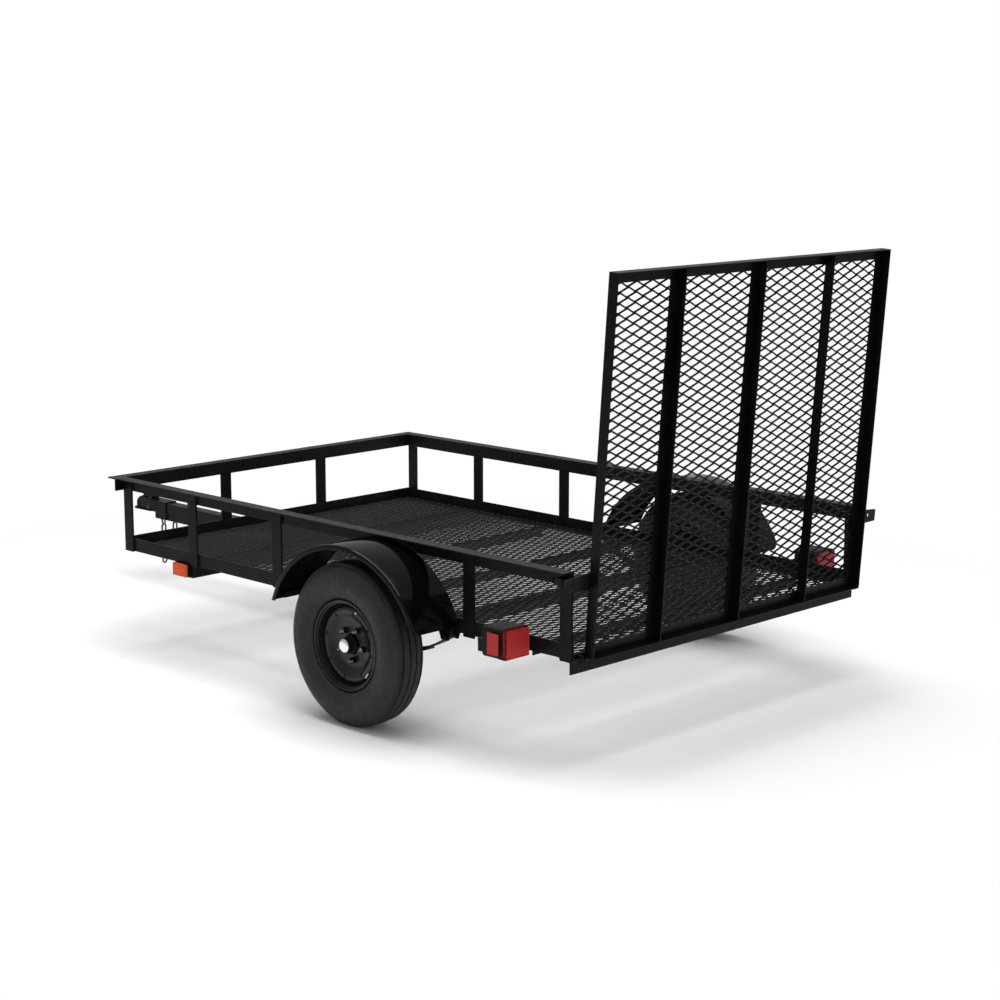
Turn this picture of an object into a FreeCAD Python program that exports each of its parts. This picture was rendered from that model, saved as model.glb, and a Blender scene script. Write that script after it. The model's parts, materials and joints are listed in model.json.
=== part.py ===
# Single-axle utility trailer: angle-iron bed with a mesh floor, a hinged mesh tailgate,
# round fenders, a straight tongue with a ball coupler and a drop-leg jack.
# Millimetres. X runs forward to the coupler, Y to the left, Z up, and the ground is Z = 0.
# Lengths along X are first counted from the rear ends of the side rails, and every piece is
# moved by the same amount when it is written, so that the origin lies under the middle.
import FreeCAD, Part
import math
import os

os.makedirs("parts", exist_ok=True)
V = FreeCAD.Vector

# Driving dimensions
BED_LENGTH = 2438.0       # side rails, eight feet
BED_HALF = 768.0          # outer face of the side rails from the middle
ANGLE = 50.8              # leg of the frame's angle iron
ANGLE_T = 4.8             # its thickness
GATE_ANGLE = 38.1         # leg of the gate's angle iron
GATE_ANGLE_T = 4.0
RAIL_BOTTOM = 366.0       # underside of the bottom rails
TOP_RAIL = 660.0          # upper face of the top rails
POST_T = 7.9              # posts are flat bars
POSTS_FROM_FRONT = (ANGLE_T, 422.0, 932.0)   # front edges of the side posts, back from the front rail
POSTS_FROM_REAR = (497.0, 51.0)              # and forward from the rear end
FRONT_POSTS = (258.0, -258.0)                # centres of the front posts
REAR_RAIL_X = 10.0        # rear face of the rear rail, a little in from the side rails' ends
REAR_RAIL_DEPTH = 66.0
REAR_RAIL_TOP = 382.0
STRAND_T = 3.8            # expanded metal: depth and width of one layer of strands
STRAND_W = 3.7
DIAMOND_LONG = 76.2       # long and short way of its diamonds
DIAMOND_SHORT = 33.8
CROSS_FROM_FRONT = 434.0  # cross member over the tongue's rear end, back from the front rail
CROSS_FROM_REAR = (1560.0, 1115.0, 672.0, 230.0)
CROSS_LEG = 38.1
AXLE_X = 886.0
TYRE_R = 290.0
TYRE_W = 157.0
TYRE_GAP = 64.5           # from the side rail to the tyre
RIM_R = 160.0             # outer edge of the rim's lip
RIM_W = 116.0             # over the lips
RIM_T = 3.6
BEAD_R = 149.0
FENDER_FORE = 2.0         # middle of the arch, forward of the axle
FENDER_Z = 285.0
FENDER_A = 391.0          # half length of the arch
FENDER_B = 358.0          # height of the arch over its centre
FENDER_W = 216.0
FENDER_END_Z = 392.0      # lower ends of the fenders
FENDER_T = 2.5
FENDER_LIP = 20.0
FENDER_ROUND = 40.0       # round of its outer lower corners
TONGUE_W = 50.8
TONGUE_H = 76.2
TONGUE_TOP = 349.0
TONGUE_REACH = 827.0      # tongue's front end, forward of the front rail
TONGUE_WALL = 4.8
COUPLER_REACH = 162.0     # coupler's tip, forward of the tongue's end
COUPLER_LAP = 85.0
COUPLER_DROP = 47.0       # its lower edge, below the tongue's top
COUPLER_WALL = 5.0
BALL_R = 25.9             # socket for a two-inch ball
CHAIN_BACK = 70.0         # chain bolt, behind the tongue's end
CHAIN_LINKS = 6
LINK_R = 4.2
LINK_HALF = 22.0
LINK_BOW = 10.0
SPRING_HALF = 290.0       # eye to middle of a leaf spring
SPRING_W = 38.1
LEAF_T = 6.5
LEAVES = 3
LEAF_STEPS = 6
EYE_R = 12.5
EYE_PIN_R = 7.0
EYE_DROP = 26.0           # spring eyes, below the rails
HANGER_T = 6.0
AXLE_R = 25.4
AXLE_WALL = 5.0
SPINDLE_R = 14.0
HINGE_X = -5.5
HINGE_Z = 366.0
HINGE_PIN_R = 5.0
KNUCKLE_R = 8.0
KNUCKLE_W = 50.0
GATE_IN = 41.5            # gate's edge, inside the side rail's outer face
GATE_LENGTH = 1252.0      # upright length of the gate
GATE_LEAN = 4.2           # the gate leans back by this much at rest
GATE_BOTTOM = 370.0       # its lowest edge before it leans
GATE_FRONT = -12.0        # front faces of its angle iron before it leans
GATE_POSTS = (413.0, 0.0, -413.0)
LATCH_DROP = 31.0         # latch pins, below the top rail
LATCH_OUT = 33.0          # and out from the side rail's outer face
LATCH_PIN_R = 6.0
EAR_OUT = 75.0            # tips of the gate's latch ears, out from the same face
EAR_T = 6.0
EAR_LAP = 14.0
JACK_FORE = 106.0         # jack, forward of the tongue's rear end
JACK_TUBE_R = 25.0
JACK_LEG_R = 20.0
JACK_TOP = 358.0
JACK_TUBE_LENGTH = 190.0
JACK_LEG_TOP = 195.0
JACK_FOOT = 84.0
JACK_SIDE = 28.0          # tube to tongue
TAIL_LAMP_W = 114.0
TAIL_LAMP_H = 104.0
TAIL_LAMP_X = 196.0       # rear face of the lens
TAIL_LAMP_DEEP = 90.0
LENS_DEEP = 8.0
TAIL_LAMP_Z = 404.0
TAIL_LAMP_IN = 12.0       # lamp's inner side, out from the side rail
LAMP_ROUND = 14.0
SIDE_LENS_L = 42.0
SIDE_LENS_H = 72.0
MARKER_LENGTH = 85.0
MARKER_H = 50.0
MARKER_DEEP = 24.0
SEAM = 0.3                # clearance where pieces seat on each other

WHEEL_Y = BED_HALF + TYRE_GAP + TYRE_W / 2
FENDER_X = AXLE_X + FENDER_FORE
FENDER_OUT = BED_HALF + FENDER_W
TONGUE_FRONT = BED_LENGTH + TONGUE_REACH
COUPLER_TIP = TONGUE_FRONT + COUPLER_REACH
CHAIN_X = TONGUE_FRONT - CHAIN_BACK
SPRING_Y = BED_HALF - ANGLE / 2
GATE_HALF = BED_HALF - GATE_IN
LATCH_Z = TOP_RAIL - LATCH_DROP
LATCH_Y = BED_HALF + LATCH_OUT
POST_FRONTS = [BED_LENGTH - d for d in POSTS_FROM_FRONT] + list(POSTS_FROM_REAR)
CARRIER_X = BED_LENGTH - CROSS_FROM_FRONT
JACK_X = CARRIER_X + JACK_FORE
RAIL_TOP = RAIL_BOTTOM + ANGLE
FLOOR_Z = RAIL_BOTTOM + ANGLE_T
RAIL_IN = BED_HALF - ANGLE_T
POST_OUT = BED_HALF + POST_T
AXLE_Z = TYRE_R
parts = {}


def box(x0, x1, y0, y1, z0, z1):
    return Part.makeBox(x1 - x0, y1 - y0, z1 - z0, V(x0, y0, z0))


def prism(points, run):
    # A closed outline through the points, pushed along the vector run.
    wire = Part.makePolygon([V(*p) for p in points] + [V(*points[0])])
    return Part.Face(wire).extrude(V(*run))


def angle_x(x0, x1, y, z, sy, sz, leg, t):
    # Angle iron along X with its outer corner at (y, z) and its legs towards sy and sz.
    p = [(y, z), (y + sy * leg, z), (y + sy * leg, z + sz * t), (y + sy * t, z + sz * t),
         (y + sy * t, z + sz * leg), (y, z + sz * leg)]
    return prism([(x0, a, b) for a, b in p], (x1 - x0, 0, 0))


def angle_y(y0, y1, x, z, sx, sz, leg, t):
    p = [(x, z), (x + sx * leg, z), (x + sx * leg, z + sz * t), (x + sx * t, z + sz * t),
         (x + sx * t, z + sz * leg), (x, z + sz * leg)]
    return prism([(a, y0, b) for a, b in p], (0, y1 - y0, 0))


def angle_z(z0, z1, x, y, sx, sy, leg, t):
    p = [(x, y), (x + sx * leg, y), (x + sx * leg, y + sy * t), (x + sx * t, y + sy * t),
         (x + sx * t, y + sy * leg), (x, y + sy * leg)]
    return prism([(a, b, z0) for a, b in p], (0, 0, z1 - z0))


def rod(r, p, q):
    run = V(*q) - V(*p)
    return Part.makeCylinder(r, run.Length, V(*p), run)


def tube(r, r_in, p, q):
    return rod(r, p, q).cut(rod(r_in, p, q))


def join(shapes):
    out = shapes[0]
    for s in shapes[1:]:
        out = out.fuse(s)
    return out.removeSplitter()


def group(shapes):
    return Part.makeCompound(shapes)


def flip(shape):
    return shape.mirror(V(0, 0, 0), V(0, 1, 0))


def both(name, shape):
    parts[name + "_left"] = shape
    parts[name + "_right"] = flip(shape)


def pair(name, solids):
    # Both sides' like pieces in one node.
    parts[name] = group(solids + [flip(s) for s in solids])


# Bottom frame: side, front and rear rails
rear_in = REAR_RAIL_X + ANGLE_T
side = angle_x(0, BED_LENGTH, BED_HALF, RAIL_BOTTOM, -1, 1, ANGLE, ANGLE_T)
side = side.cut(box(-1, rear_in, 0, RAIL_IN, RAIL_BOTTOM - 1, FLOOR_Z + 1))
side = side.cut(box(BED_LENGTH - ANGLE, BED_LENGTH + 1, 0, RAIL_IN, RAIL_BOTTOM - 1, FLOOR_Z + 1))
side = side.cut(box(BED_LENGTH - ANGLE_T, BED_LENGTH + 1, 0, BED_HALF + 1, RAIL_BOTTOM - 1, RAIL_TOP + 1))
both("side_rail", side)
front = angle_y(-BED_HALF, BED_HALF, BED_LENGTH, RAIL_BOTTOM, -1, 1, ANGLE, ANGLE_T)
for s in (1, -1):
    y = sorted((s * RAIL_IN, s * (BED_HALF + 1)))
    front = front.cut(box(BED_LENGTH - ANGLE - 1, BED_LENGTH - ANGLE_T, y[0], y[1],
                          RAIL_BOTTOM - 1, FLOOR_Z + 1))
parts["front_rail"] = front
rear_bottom = REAR_RAIL_TOP - REAR_RAIL_DEPTH
rear = box(REAR_RAIL_X, rear_in, -RAIL_IN, RAIL_IN, rear_bottom, REAR_RAIL_TOP)
rear = rear.fuse(box(REAR_RAIL_X, rear_in, -BED_HALF, BED_HALF, rear_bottom, RAIL_BOTTOM))
rear = rear.fuse(box(REAR_RAIL_X, REAR_RAIL_X + ANGLE, -BED_HALF, BED_HALF,
                     RAIL_BOTTOM - ANGLE_T, RAIL_BOTTOM))
parts["rear_rail"] = rear.removeSplitter()


def mesh_sheet(u0, u1, v0, v1, long_way, short_way, place):
    # Expanded metal as two crossing layers of slanting strands, all cut off square at the sheet's
    # edges. place(u, v, w) puts a point of the sheet, w counted through its thickness, in the model.
    strands = []
    slope = short_way / long_way
    half = STRAND_W / 2 * math.sqrt(1 + slope * slope)
    rise = slope * (u1 - u0)
    for layer, sign in enumerate((1, -1)):
        w0 = layer * (STRAND_T + SEAM)
        first = v0 - (rise if sign > 0 else 0) + half + 3
        count = int((v1 - v0 + rise - 2 * half - 6) / short_way) + 1
        for k in range(count):
            start = first + k * short_way
            ends = []
            for edge in (-half, half):
                ends.append([start + edge, start + edge + sign * rise])
            lo, hi = ends
            cross = []
            for e0, e1 in (lo, hi):
                a = u0
                b = u1
                if e0 < v0:
                    a = u0 + (v0 - e0) / slope
                if e0 > v1:
                    a = u0 + (e0 - v1) / slope
                if e1 > v1:
                    b = u0 + (v1 - e0) / slope
                if e1 < v0:
                    b = u0 + (e0 - v0) / slope
                cross.append((a, e0 + sign * slope * (a - u0), b, e0 + sign * slope * (b - u0)))
            a0, p0, b0, q0 = cross[0]
            a1, p1, b1, q1 = cross[1]
            if b0 - a0 < 20 or b1 - a1 < 20:
                continue
            quad = [(a0, p0), (b0, q0), (b1, q1), (a1, p1)]
            low = [V(*place(u, v, w0)) for u, v in quad]
            high = V(*place(0, 0, w0 + STRAND_T)) - V(*place(0, 0, w0))
            face = Part.Face(Part.makePolygon(low + low[:1]))
            strands.append(face.extrude(high))
    return group(strands)


# Floor: cross members under the mesh, and the mesh itself
cross = []
for x in CROSS_FROM_REAR:
    cross.append(angle_y(-BED_HALF + ANGLE, BED_HALF - ANGLE, x, FLOOR_Z, -1, -1, CROSS_LEG, ANGLE_T))
parts["floor_cross_members"] = group(cross)
carrier = angle_y(-BED_HALF, BED_HALF, CARRIER_X, RAIL_BOTTOM, 1, -1, ANGLE, ANGLE_T)
for s in (1, -1):
    y = sorted((s * (BED_HALF - ANGLE_T), s * (BED_HALF + 1)))
    carrier = carrier.cut(box(CARRIER_X + ANGLE_T, CARRIER_X + ANGLE + 1, y[0], y[1], 0, RAIL_BOTTOM + 1))
pad = box(BED_LENGTH - ANGLE, BED_LENGTH, -45, 45, TONGUE_TOP, RAIL_BOTTOM)
parts["tongue_cross_member"] = group([carrier, pad])
floor_x1 = BED_LENGTH - ANGLE_T - 2
parts["floor_mesh"] = mesh_sheet(-RAIL_IN + 2, RAIL_IN - 2, rear_in + 2, floor_x1,
                                 DIAMOND_LONG, DIAMOND_SHORT, lambda u, v, w: (v, u, FLOOR_Z + w))

# Posts and top rails
post_top = TOP_RAIL - ANGLE_T
side_posts = []
for x in POST_FRONTS:
    foot = RAIL_BOTTOM - (7.0 if x in POSTS_FROM_REAR else 2.0)
    side_posts.append(box(x - ANGLE, x, BED_HALF, POST_OUT, foot, post_top))
pair("side_posts", side_posts)
front_posts = []
for y in FRONT_POSTS:
    front_posts.append(box(BED_LENGTH, BED_LENGTH + POST_T, y - ANGLE / 2, y + ANGLE / 2,
                           RAIL_BOTTOM - 2, post_top))
parts["front_posts"] = group(front_posts)
top = angle_x(0, BED_LENGTH - ANGLE_T, BED_HALF - ANGLE_T, TOP_RAIL, 1, -1, ANGLE, ANGLE_T)
both("top_rail", top)
reach = BED_HALF - ANGLE_T + ANGLE
front_top = angle_y(-reach, reach, BED_LENGTH - ANGLE_T, TOP_RAIL, 1, -1, ANGLE, ANGLE_T)
parts["top_rail_front"] = front_top


# Fenders: half an ellipse with an outer lip, on a brace at each end
def oval(a, b, y0, y1):
    edge = Part.Ellipse(V(0, 0, 0), a, b).toShape()
    body = Part.Face(Part.Wire([edge])).extrude(V(0, 0, y1 - y0))
    body.rotate(V(0, 0, 0), V(1, 0, 0), -90)
    body.translate(V(FENDER_X, y0, FENDER_Z))
    return body


def arch(depth, y0, y1):
    band = oval(FENDER_A, FENDER_B, y0, y1).cut(oval(FENDER_A - depth, FENDER_B - depth, y0 - 1, y1 + 1))
    return band.common(box(FENDER_X - 500, FENDER_X + 500, y0, y1,
                           FENDER_END_Z, FENDER_Z + FENDER_B + 10))


fender = arch(FENDER_T, POST_OUT + SEAM, FENDER_OUT)
fender = fender.fuse(arch(FENDER_LIP, FENDER_OUT - FENDER_T, FENDER_OUT))
# The outer lower corners are rounded, seen from behind
round_y = FENDER_OUT - FENDER_ROUND
round_z = FENDER_END_Z + FENDER_ROUND
corner = box(FENDER_X - 500, FENDER_X + 500, round_y, FENDER_OUT + 1, FENDER_END_Z - 1, round_z)
corner = corner.cut(rod(FENDER_ROUND, (FENDER_X - 501, round_y, round_z),
                        (FENDER_X + 501, round_y, round_z)))
fender = fender.cut(corner)
both("fender", fender.removeSplitter())


def fender_half(z):
    # Half length of the arch at height z.
    return FENDER_A * math.sqrt(1 - ((z - FENDER_Z) / FENDER_B) ** 2)


braces = []
brace_z = FENDER_END_Z + 22
for s in (1, -1):
    # A flat bar from the side rail to the inside of the fender's end.
    x = FENDER_X - s * (fender_half(brace_z) - FENDER_T - SEAM)
    foot = sorted((x, x + s * 6.0))
    bar = box(foot[0], foot[1], BED_HALF + SEAM, FENDER_OUT - FENDER_ROUND - 10,
              FENDER_END_Z + 2, brace_z)
    braces.append(bar)
pair("fender_braces", braces)

# Axle, springs and hangers
axle_half = WHEEL_Y - TYRE_W / 2 - 30
axle = tube(AXLE_R, AXLE_R - AXLE_WALL, (AXLE_X, -axle_half, AXLE_Z), (AXLE_X, axle_half, AXLE_Z))
for s in (1, -1):
    plug = rod(AXLE_R - AXLE_WALL / 2, (AXLE_X, s * (axle_half - 30), AXLE_Z),
               (AXLE_X, s * axle_half, AXLE_Z))
    spindle = rod(SPINDLE_R, (AXLE_X, s * (axle_half - 10), AXLE_Z),
                  (AXLE_X, s * (WHEEL_Y + 40), AXLE_Z))
    axle = axle.fuse(plug).fuse(spindle)
parts["axle"] = axle
seat_z = AXLE_Z - AXLE_R - 6.0
eye_z = RAIL_BOTTOM - EYE_DROP
sy0 = SPRING_Y - SPRING_W / 2
sy1 = SPRING_Y + SPRING_W / 2
main_z = seat_z - SEAM - LEAF_T
rise = eye_z - EYE_R + LEAF_T - main_z - LEAF_T


def leaf(steps, level):
    # One leaf of the spring, flat under the axle and bowed up to its ends; level 0 is the main leaf.
    step = SPRING_HALF / LEAF_STEPS
    low = []
    for i in range(-steps, steps + 1):
        bow = max(abs(i) - 1, 0) / (LEAF_STEPS - 1)
        low.append((AXLE_X + i * step, sy0, main_z - level * (LEAF_T + SEAM) + rise * bow ** 2))
    high = [(x, yy, z + LEAF_T) for x, yy, z in low]
    return prism(low + high[::-1], (0, sy1 - sy0, 0))


main_leaf = leaf(LEAF_STEPS, 0)
for s in (1, -1):
    x = AXLE_X + s * SPRING_HALF
    main_leaf = main_leaf.fuse(rod(EYE_R, (x, sy0, eye_z), (x, sy1, eye_z)))
    main_leaf = main_leaf.cut(rod(EYE_PIN_R + 0.1, (x, sy0 - 1, eye_z), (x, sy1 + 1, eye_z)))
leaves = [main_leaf.removeSplitter()]
for level in range(1, LEAVES):
    leaves.append(leaf(LEAF_STEPS - 2 * level, level))
both("leaf_spring", group(leaves))
hangers = []
for s in (1, -1):
    x = AXLE_X + s * SPRING_HALF
    plates = []
    for y in (sy0 - SEAM - HANGER_T, sy1 + SEAM):
        outline = [(x - 34, y, RAIL_BOTTOM), (x + 34, y, RAIL_BOTTOM),
                   (x + 17, y, eye_z - 14), (x - 17, y, eye_z - 14)]
        plates.append(prism(outline, (0, HANGER_T, 0)))
    pin = rod(EYE_PIN_R, (x, sy0 - 12, eye_z), (x, sy1 + 12, eye_z))
    hangers.append(plates[0].fuse(pin).fuse(plates[1]))
pair("spring_hangers", hangers)
# A saddle under the axle, a plate over the axle and one under the leaves, held by four bolts
clamp_x = AXLE_R + 6.0
clamp_y = SPRING_W / 2 + 6.0
top_z = AXLE_Z + AXLE_R + SEAM
low_z = main_z - (LEAVES - 1) * (LEAF_T + SEAM) - SEAM
clamp = box(AXLE_X - 30, AXLE_X + 30, sy0, sy1, seat_z, AXLE_Z - 12)
clamp = clamp.cut(rod(AXLE_R + 0.05, (AXLE_X, sy0 - 9, AXLE_Z), (AXLE_X, sy1 + 9, AXLE_Z)))
tie = box(AXLE_X - clamp_x - 9, AXLE_X + clamp_x + 9, SPRING_Y - clamp_y - 9, SPRING_Y + clamp_y + 9,
          top_z, top_z + 7)
tie = tie.fuse(box(AXLE_X - clamp_x - 9, AXLE_X + clamp_x + 9, SPRING_Y - clamp_y - 9,
                   SPRING_Y + clamp_y + 9, low_z - 7, low_z))
for sx in (1, -1):
    for sy in (1, -1):
        bx = AXLE_X + sx * clamp_x
        by = SPRING_Y + sy * clamp_y
        tie = tie.fuse(rod(4.8, (bx, by, low_z - 16), (bx, by, top_z + 14)))
pair("axle_clamps", [clamp, tie.removeSplitter()])

# Wheels: tyre, rim with its disc, and hub
def lathe(profile, y_sign=1):
    # Profile points are (radius, y); turned about the axle line.
    wire = Part.makePolygon([V(AXLE_X + r, y, AXLE_Z) for r, y in profile + profile[:1]])
    return Part.Face(wire).revolve(V(AXLE_X, 0, AXLE_Z), V(0, 1, 0), 360)


w = TYRE_W / 2
y = WHEEL_Y
lip = RIM_W / 2
seat = lip - 8.0
wall_r = RIM_R + 55
tread = 45.0
tyre_profile = [(BEAD_R + SEAM, y - seat + SEAM), (RIM_R + 7, y - lip + 1), (wall_r, y - w),
                (TYRE_R - 29, y - w + 12), (TYRE_R - 3, y - tread), (TYRE_R, y), (TYRE_R - 3, y + tread),
                (TYRE_R - 29, y + w - 12), (wall_r, y + w), (RIM_R + 7, y + lip - 1),
                (BEAD_R + SEAM, y + seat - SEAM)]
both("tyre", lathe(tyre_profile))
barrel = BEAD_R - RIM_T
disc = y + 23 - RIM_T
rim_profile = [(RIM_R, y - lip), (BEAD_R, y - seat), (BEAD_R, y + seat), (RIM_R, y + lip),
               (barrel, y + lip - 3), (barrel, disc - 8), (108, disc + 6), (78, disc), (34.5, disc),
               (34.5, disc - RIM_T), (78, disc - RIM_T), (108, disc + 6 - RIM_T), (barrel, disc - 16),
               (barrel, y - lip + 3)]
both("rim", lathe(rim_profile))
hub_profile = [(SPINDLE_R + 0.05, y - 60), (30, y - 60), (30, disc - 26), (62, disc - 20),
               (62, disc - RIM_T), (34, disc - RIM_T), (34, disc + 18), (25, disc + 30),
               (25, disc + 42), (0, disc + 45), (0, y + 42), (SPINDLE_R + 0.05, y + 42)]
both("hub", lathe(hub_profile))

# Tongue, coupler, chains and jack
t0 = TONGUE_TOP - TONGUE_H
tongue_back = CARRIER_X + ANGLE_T
tongue = box(tongue_back, TONGUE_FRONT, -TONGUE_W / 2, TONGUE_W / 2, t0, TONGUE_TOP)
tongue = tongue.cut(box(tongue_back - 1, TONGUE_FRONT + 1, -TONGUE_W / 2 + TONGUE_WALL,
                        TONGUE_W / 2 - TONGUE_WALL, t0 + TONGUE_WALL, TONGUE_TOP - TONGUE_WALL))
cx = COUPLER_TIP - 42
c_low = TONGUE_TOP - COUPLER_DROP
dome_z = c_low + 24
hw = TONGUE_W / 2 + SEAM + COUPLER_WALL
c_top = TONGUE_TOP + SEAM + COUPLER_WALL
c_back = TONGUE_FRONT - COUPLER_LAP
bend = TONGUE_FRONT + 30
# The stamped body: its side view and its plan, each pushed through, and what both share
side_view = prism([(c_back, -60, c_low), (cx, -60, c_low), (cx, -60, dome_z + 24),
                   (bend, -60, c_top), (c_back, -60, c_top)], (0, 120, 0))
plan = prism([(c_back, -hw, 0), (bend, -hw, 0), (cx, -29, 0), (cx, 29, 0), (bend, hw, 0),
              (c_back, hw, 0)], (0, 0, 500))
coupler = side_view.common(plan)
hollow = box(c_back - 1, bend, -hw + COUPLER_WALL, hw - COUPLER_WALL, c_low - 1, TONGUE_TOP + SEAM)
coupler = coupler.cut(hollow)
coupler = coupler.fuse(Part.makeCylinder(32, dome_z - c_low, V(cx, 0, c_low)))
dome_box = box(cx - 50, cx + 50, -50, 50, dome_z, dome_z + 40)
coupler = coupler.fuse(Part.makeSphere(32, V(cx, 0, dome_z)).common(dome_box))
flange = prism([(bend - 12, -hw - 8, c_low), (cx, -41, c_low), (cx, 41, c_low),
                (bend - 12, hw + 8, c_low)], (0, 0, 5))
flange = flange.fuse(Part.makeCylinder(42, 5, V(cx, 0, c_low)))
flange = flange.cut(box(c_back, bend, -hw + COUPLER_WALL, hw - COUPLER_WALL, c_low - 1, c_low + 6))
coupler = coupler.fuse(flange)
coupler = coupler.cut(Part.makeCylinder(BALL_R, dome_z - c_low, V(cx, 0, c_low)))
ball_box = box(cx - 50, cx + 50, -50, 50, dome_z - 0.1, dome_z + 40)
coupler = coupler.cut(Part.makeSphere(BALL_R, V(cx, 0, dome_z)).common(ball_box))
parts["coupler"] = coupler.removeSplitter()


def link(x, y, z, across):
    # One chain link standing upright: a six-sided bar bent round eight corners. across turns it
    # a quarter turn, so that its hole faces forward.
    rings = []
    for k in range(8):
        th = math.radians(22.5 + 45 * k)
        u = LINK_BOW * math.cos(th) / math.cos(math.radians(22.5))
        v = LINK_BOW * math.sin(th) / math.cos(math.radians(22.5))
        straight = (LINK_HALF - LINK_BOW) * (1 if v > 0 else -1)
        ring = []
        for j in range(6):
            a = math.radians(60 * j)
            out = 1 + LINK_R * math.cos(a) / LINK_BOW
            side = LINK_R * math.sin(a)
            if across:
                ring.append(V(x + side, y + u * out, z + straight + v * out))
            else:
                ring.append(V(x + u * out, y + side, z + straight + v * out))
        rings.append(ring)
    faces = []
    for k in range(8):
        n1 = rings[k]
        n2 = rings[(k + 1) % 8]
        for j in range(6):
            m = (j + 1) % 6
            faces.append(Part.Face(Part.makePolygon([n1[j], n2[j], n2[m], n1[m], n1[j]])))
    return Part.Solid(Part.makeShell(faces))


# The chains hang on a bolt through the tongue
bolt_z = t0 + 12.0
chain_y = TONGUE_W / 2 + SEAM + LINK_R + 1
tongue = tongue.fuse(rod(5.0, (CHAIN_X, -chain_y - 12, bolt_z), (CHAIN_X, chain_y + 12, bolt_z)))
for s in (1, -1):
    tongue = tongue.fuse(rod(9.0, (CHAIN_X, s * (chain_y + 7), bolt_z),
                             (CHAIN_X, s * (chain_y + 12), bolt_z)))
parts["tongue"] = tongue.removeSplitter()
links = []
pitch = 2 * LINK_HALF - 2 * LINK_R - 0.4
for i in range(CHAIN_LINKS):
    z = bolt_z + 5.0 + SEAM - (LINK_HALF - LINK_R) - i * pitch
    links.append(link(CHAIN_X, chain_y, z, i % 2 == 1))
pair("safety_chains", links)
lever = prism([(bend + 20, -7, c_top - 6), (cx - 8, -7, dome_z + 34), (cx - 8, -7, dome_z + 42),
               (bend + 12, -7, c_top + 22), (bend - 16, -7, c_top + 16),
               (bend - 18, -7, c_top + SEAM), (bend - 2, -7, c_top + SEAM)], (0, 14, 0))
parts["coupler_latch"] = lever.cut(side_view).cut(Part.makeSphere(32 + SEAM, V(cx, 0, dome_z)))
jy = -TONGUE_W / 2 - JACK_SIDE - JACK_TUBE_R
jack_z0 = JACK_TOP - JACK_TUBE_LENGTH
jack = tube(JACK_TUBE_R, JACK_LEG_R + 0.06, (JACK_X, jy, jack_z0), (JACK_X, jy, JACK_TOP - 5))
jack = jack.fuse(rod(JACK_TUBE_R + 2, (JACK_X, jy, JACK_TOP - 5), (JACK_X, jy, JACK_TOP)))
mount = box(JACK_X - 30, JACK_X + 30, jy, -TONGUE_W / 2, t0 + 6, TONGUE_TOP - 6)
mount = mount.cut(rod(JACK_TUBE_R - 1, (JACK_X, jy, t0), (JACK_X, jy, TONGUE_TOP)))
parts["jack_tube"] = jack.fuse(mount).removeSplitter()
jack_side = jy - JACK_TUBE_R
crank = rod(8.0, (JACK_X, jack_side, JACK_TOP - 30), (JACK_X, jack_side - 30, JACK_TOP - 30))
crank = crank.fuse(box(JACK_X - 8, JACK_X + 8, jack_side - 30, jack_side - 24,
                       JACK_TOP - 140, JACK_TOP - 22))
crank = crank.fuse(rod(9.0, (JACK_X, jack_side - 25, JACK_TOP - 132),
                       (JACK_X, jack_side - 90, JACK_TOP - 132)))
parts["jack_crank"] = crank.removeSplitter()
leg = rod(JACK_LEG_R, (JACK_X, jy, 5), (JACK_X, jy, JACK_LEG_TOP))
foot = JACK_FOOT / 2
leg = leg.fuse(box(JACK_X - foot, JACK_X + foot, jy - foot, jy + foot, 0, 5))
parts["jack_leg"] = leg

# Lamps
def rounded(x0, x1, y0, y1, z0, z1, r):
    # A block whose edges along X are rounded.
    b = box(x0, x1, y0, y1, z0, z1)
    edges = [e for e in b.Edges if abs(e.Vertexes[0].X - e.Vertexes[-1].X) > 1]
    return b.makeFillet(r, edges)


lamp_y0 = BED_HALF + TAIL_LAMP_IN
lamp_y1 = lamp_y0 + TAIL_LAMP_W
bracket_x = TAIL_LAMP_X + TAIL_LAMP_DEEP
bracket = box(bracket_x + SEAM, bracket_x + 25, BED_HALF, lamp_y1 - 4, RAIL_BOTTOM, RAIL_BOTTOM + 44)
bracket = bracket.cut(box(bracket_x + SEAM + 3, bracket_x + 22, BED_HALF - 1, lamp_y1 - 7,
                          RAIL_BOTTOM + 3, RAIL_BOTTOM + 41))
pair("tail_lamp_brackets", [bracket])
z0 = TAIL_LAMP_Z - TAIL_LAMP_H / 2
z1 = TAIL_LAMP_Z + TAIL_LAMP_H / 2
lens_x = TAIL_LAMP_X + LENS_DEEP
pair("tail_lamp_housings", [rounded(lens_x + SEAM, bracket_x, lamp_y0, lamp_y1, z0, z1, LAMP_ROUND)])
lens = rounded(TAIL_LAMP_X, lens_x, lamp_y0 + 2, lamp_y1 - 2, z0 + 2, z1 - 2, LAMP_ROUND - 2)
rim_edges = [e for e in lens.Edges if max(abs(v.X - TAIL_LAMP_X) for v in e.Vertexes) < 0.01]
side_x = lens_x + 12
side_z = TAIL_LAMP_Z - SIDE_LENS_H / 2
side_lens = box(side_x, side_x + SIDE_LENS_L, lamp_y1 + SEAM, lamp_y1 + 5, side_z, side_z + SIDE_LENS_H)
pair("tail_lamp_lenses", [lens.makeFillet(4.0, rim_edges), side_lens])
plate = box(CARRIER_X + ANGLE_T, CARRIER_X + MARKER_LENGTH + 12, BED_HALF - ANGLE_T, BED_HALF,
            RAIL_BOTTOM - ANGLE, RAIL_BOTTOM)
marker_x = POST_FRONTS[1] + SEAM
marker_y = BED_HALF + MARKER_DEEP
marker_z = RAIL_BOTTOM + 3 - MARKER_H
base = box(marker_x, marker_x + MARKER_LENGTH, BED_HALF, marker_y - 11, marker_z, marker_z + MARKER_H)
pair("marker_brackets", [plate.fuse(base)])
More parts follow.
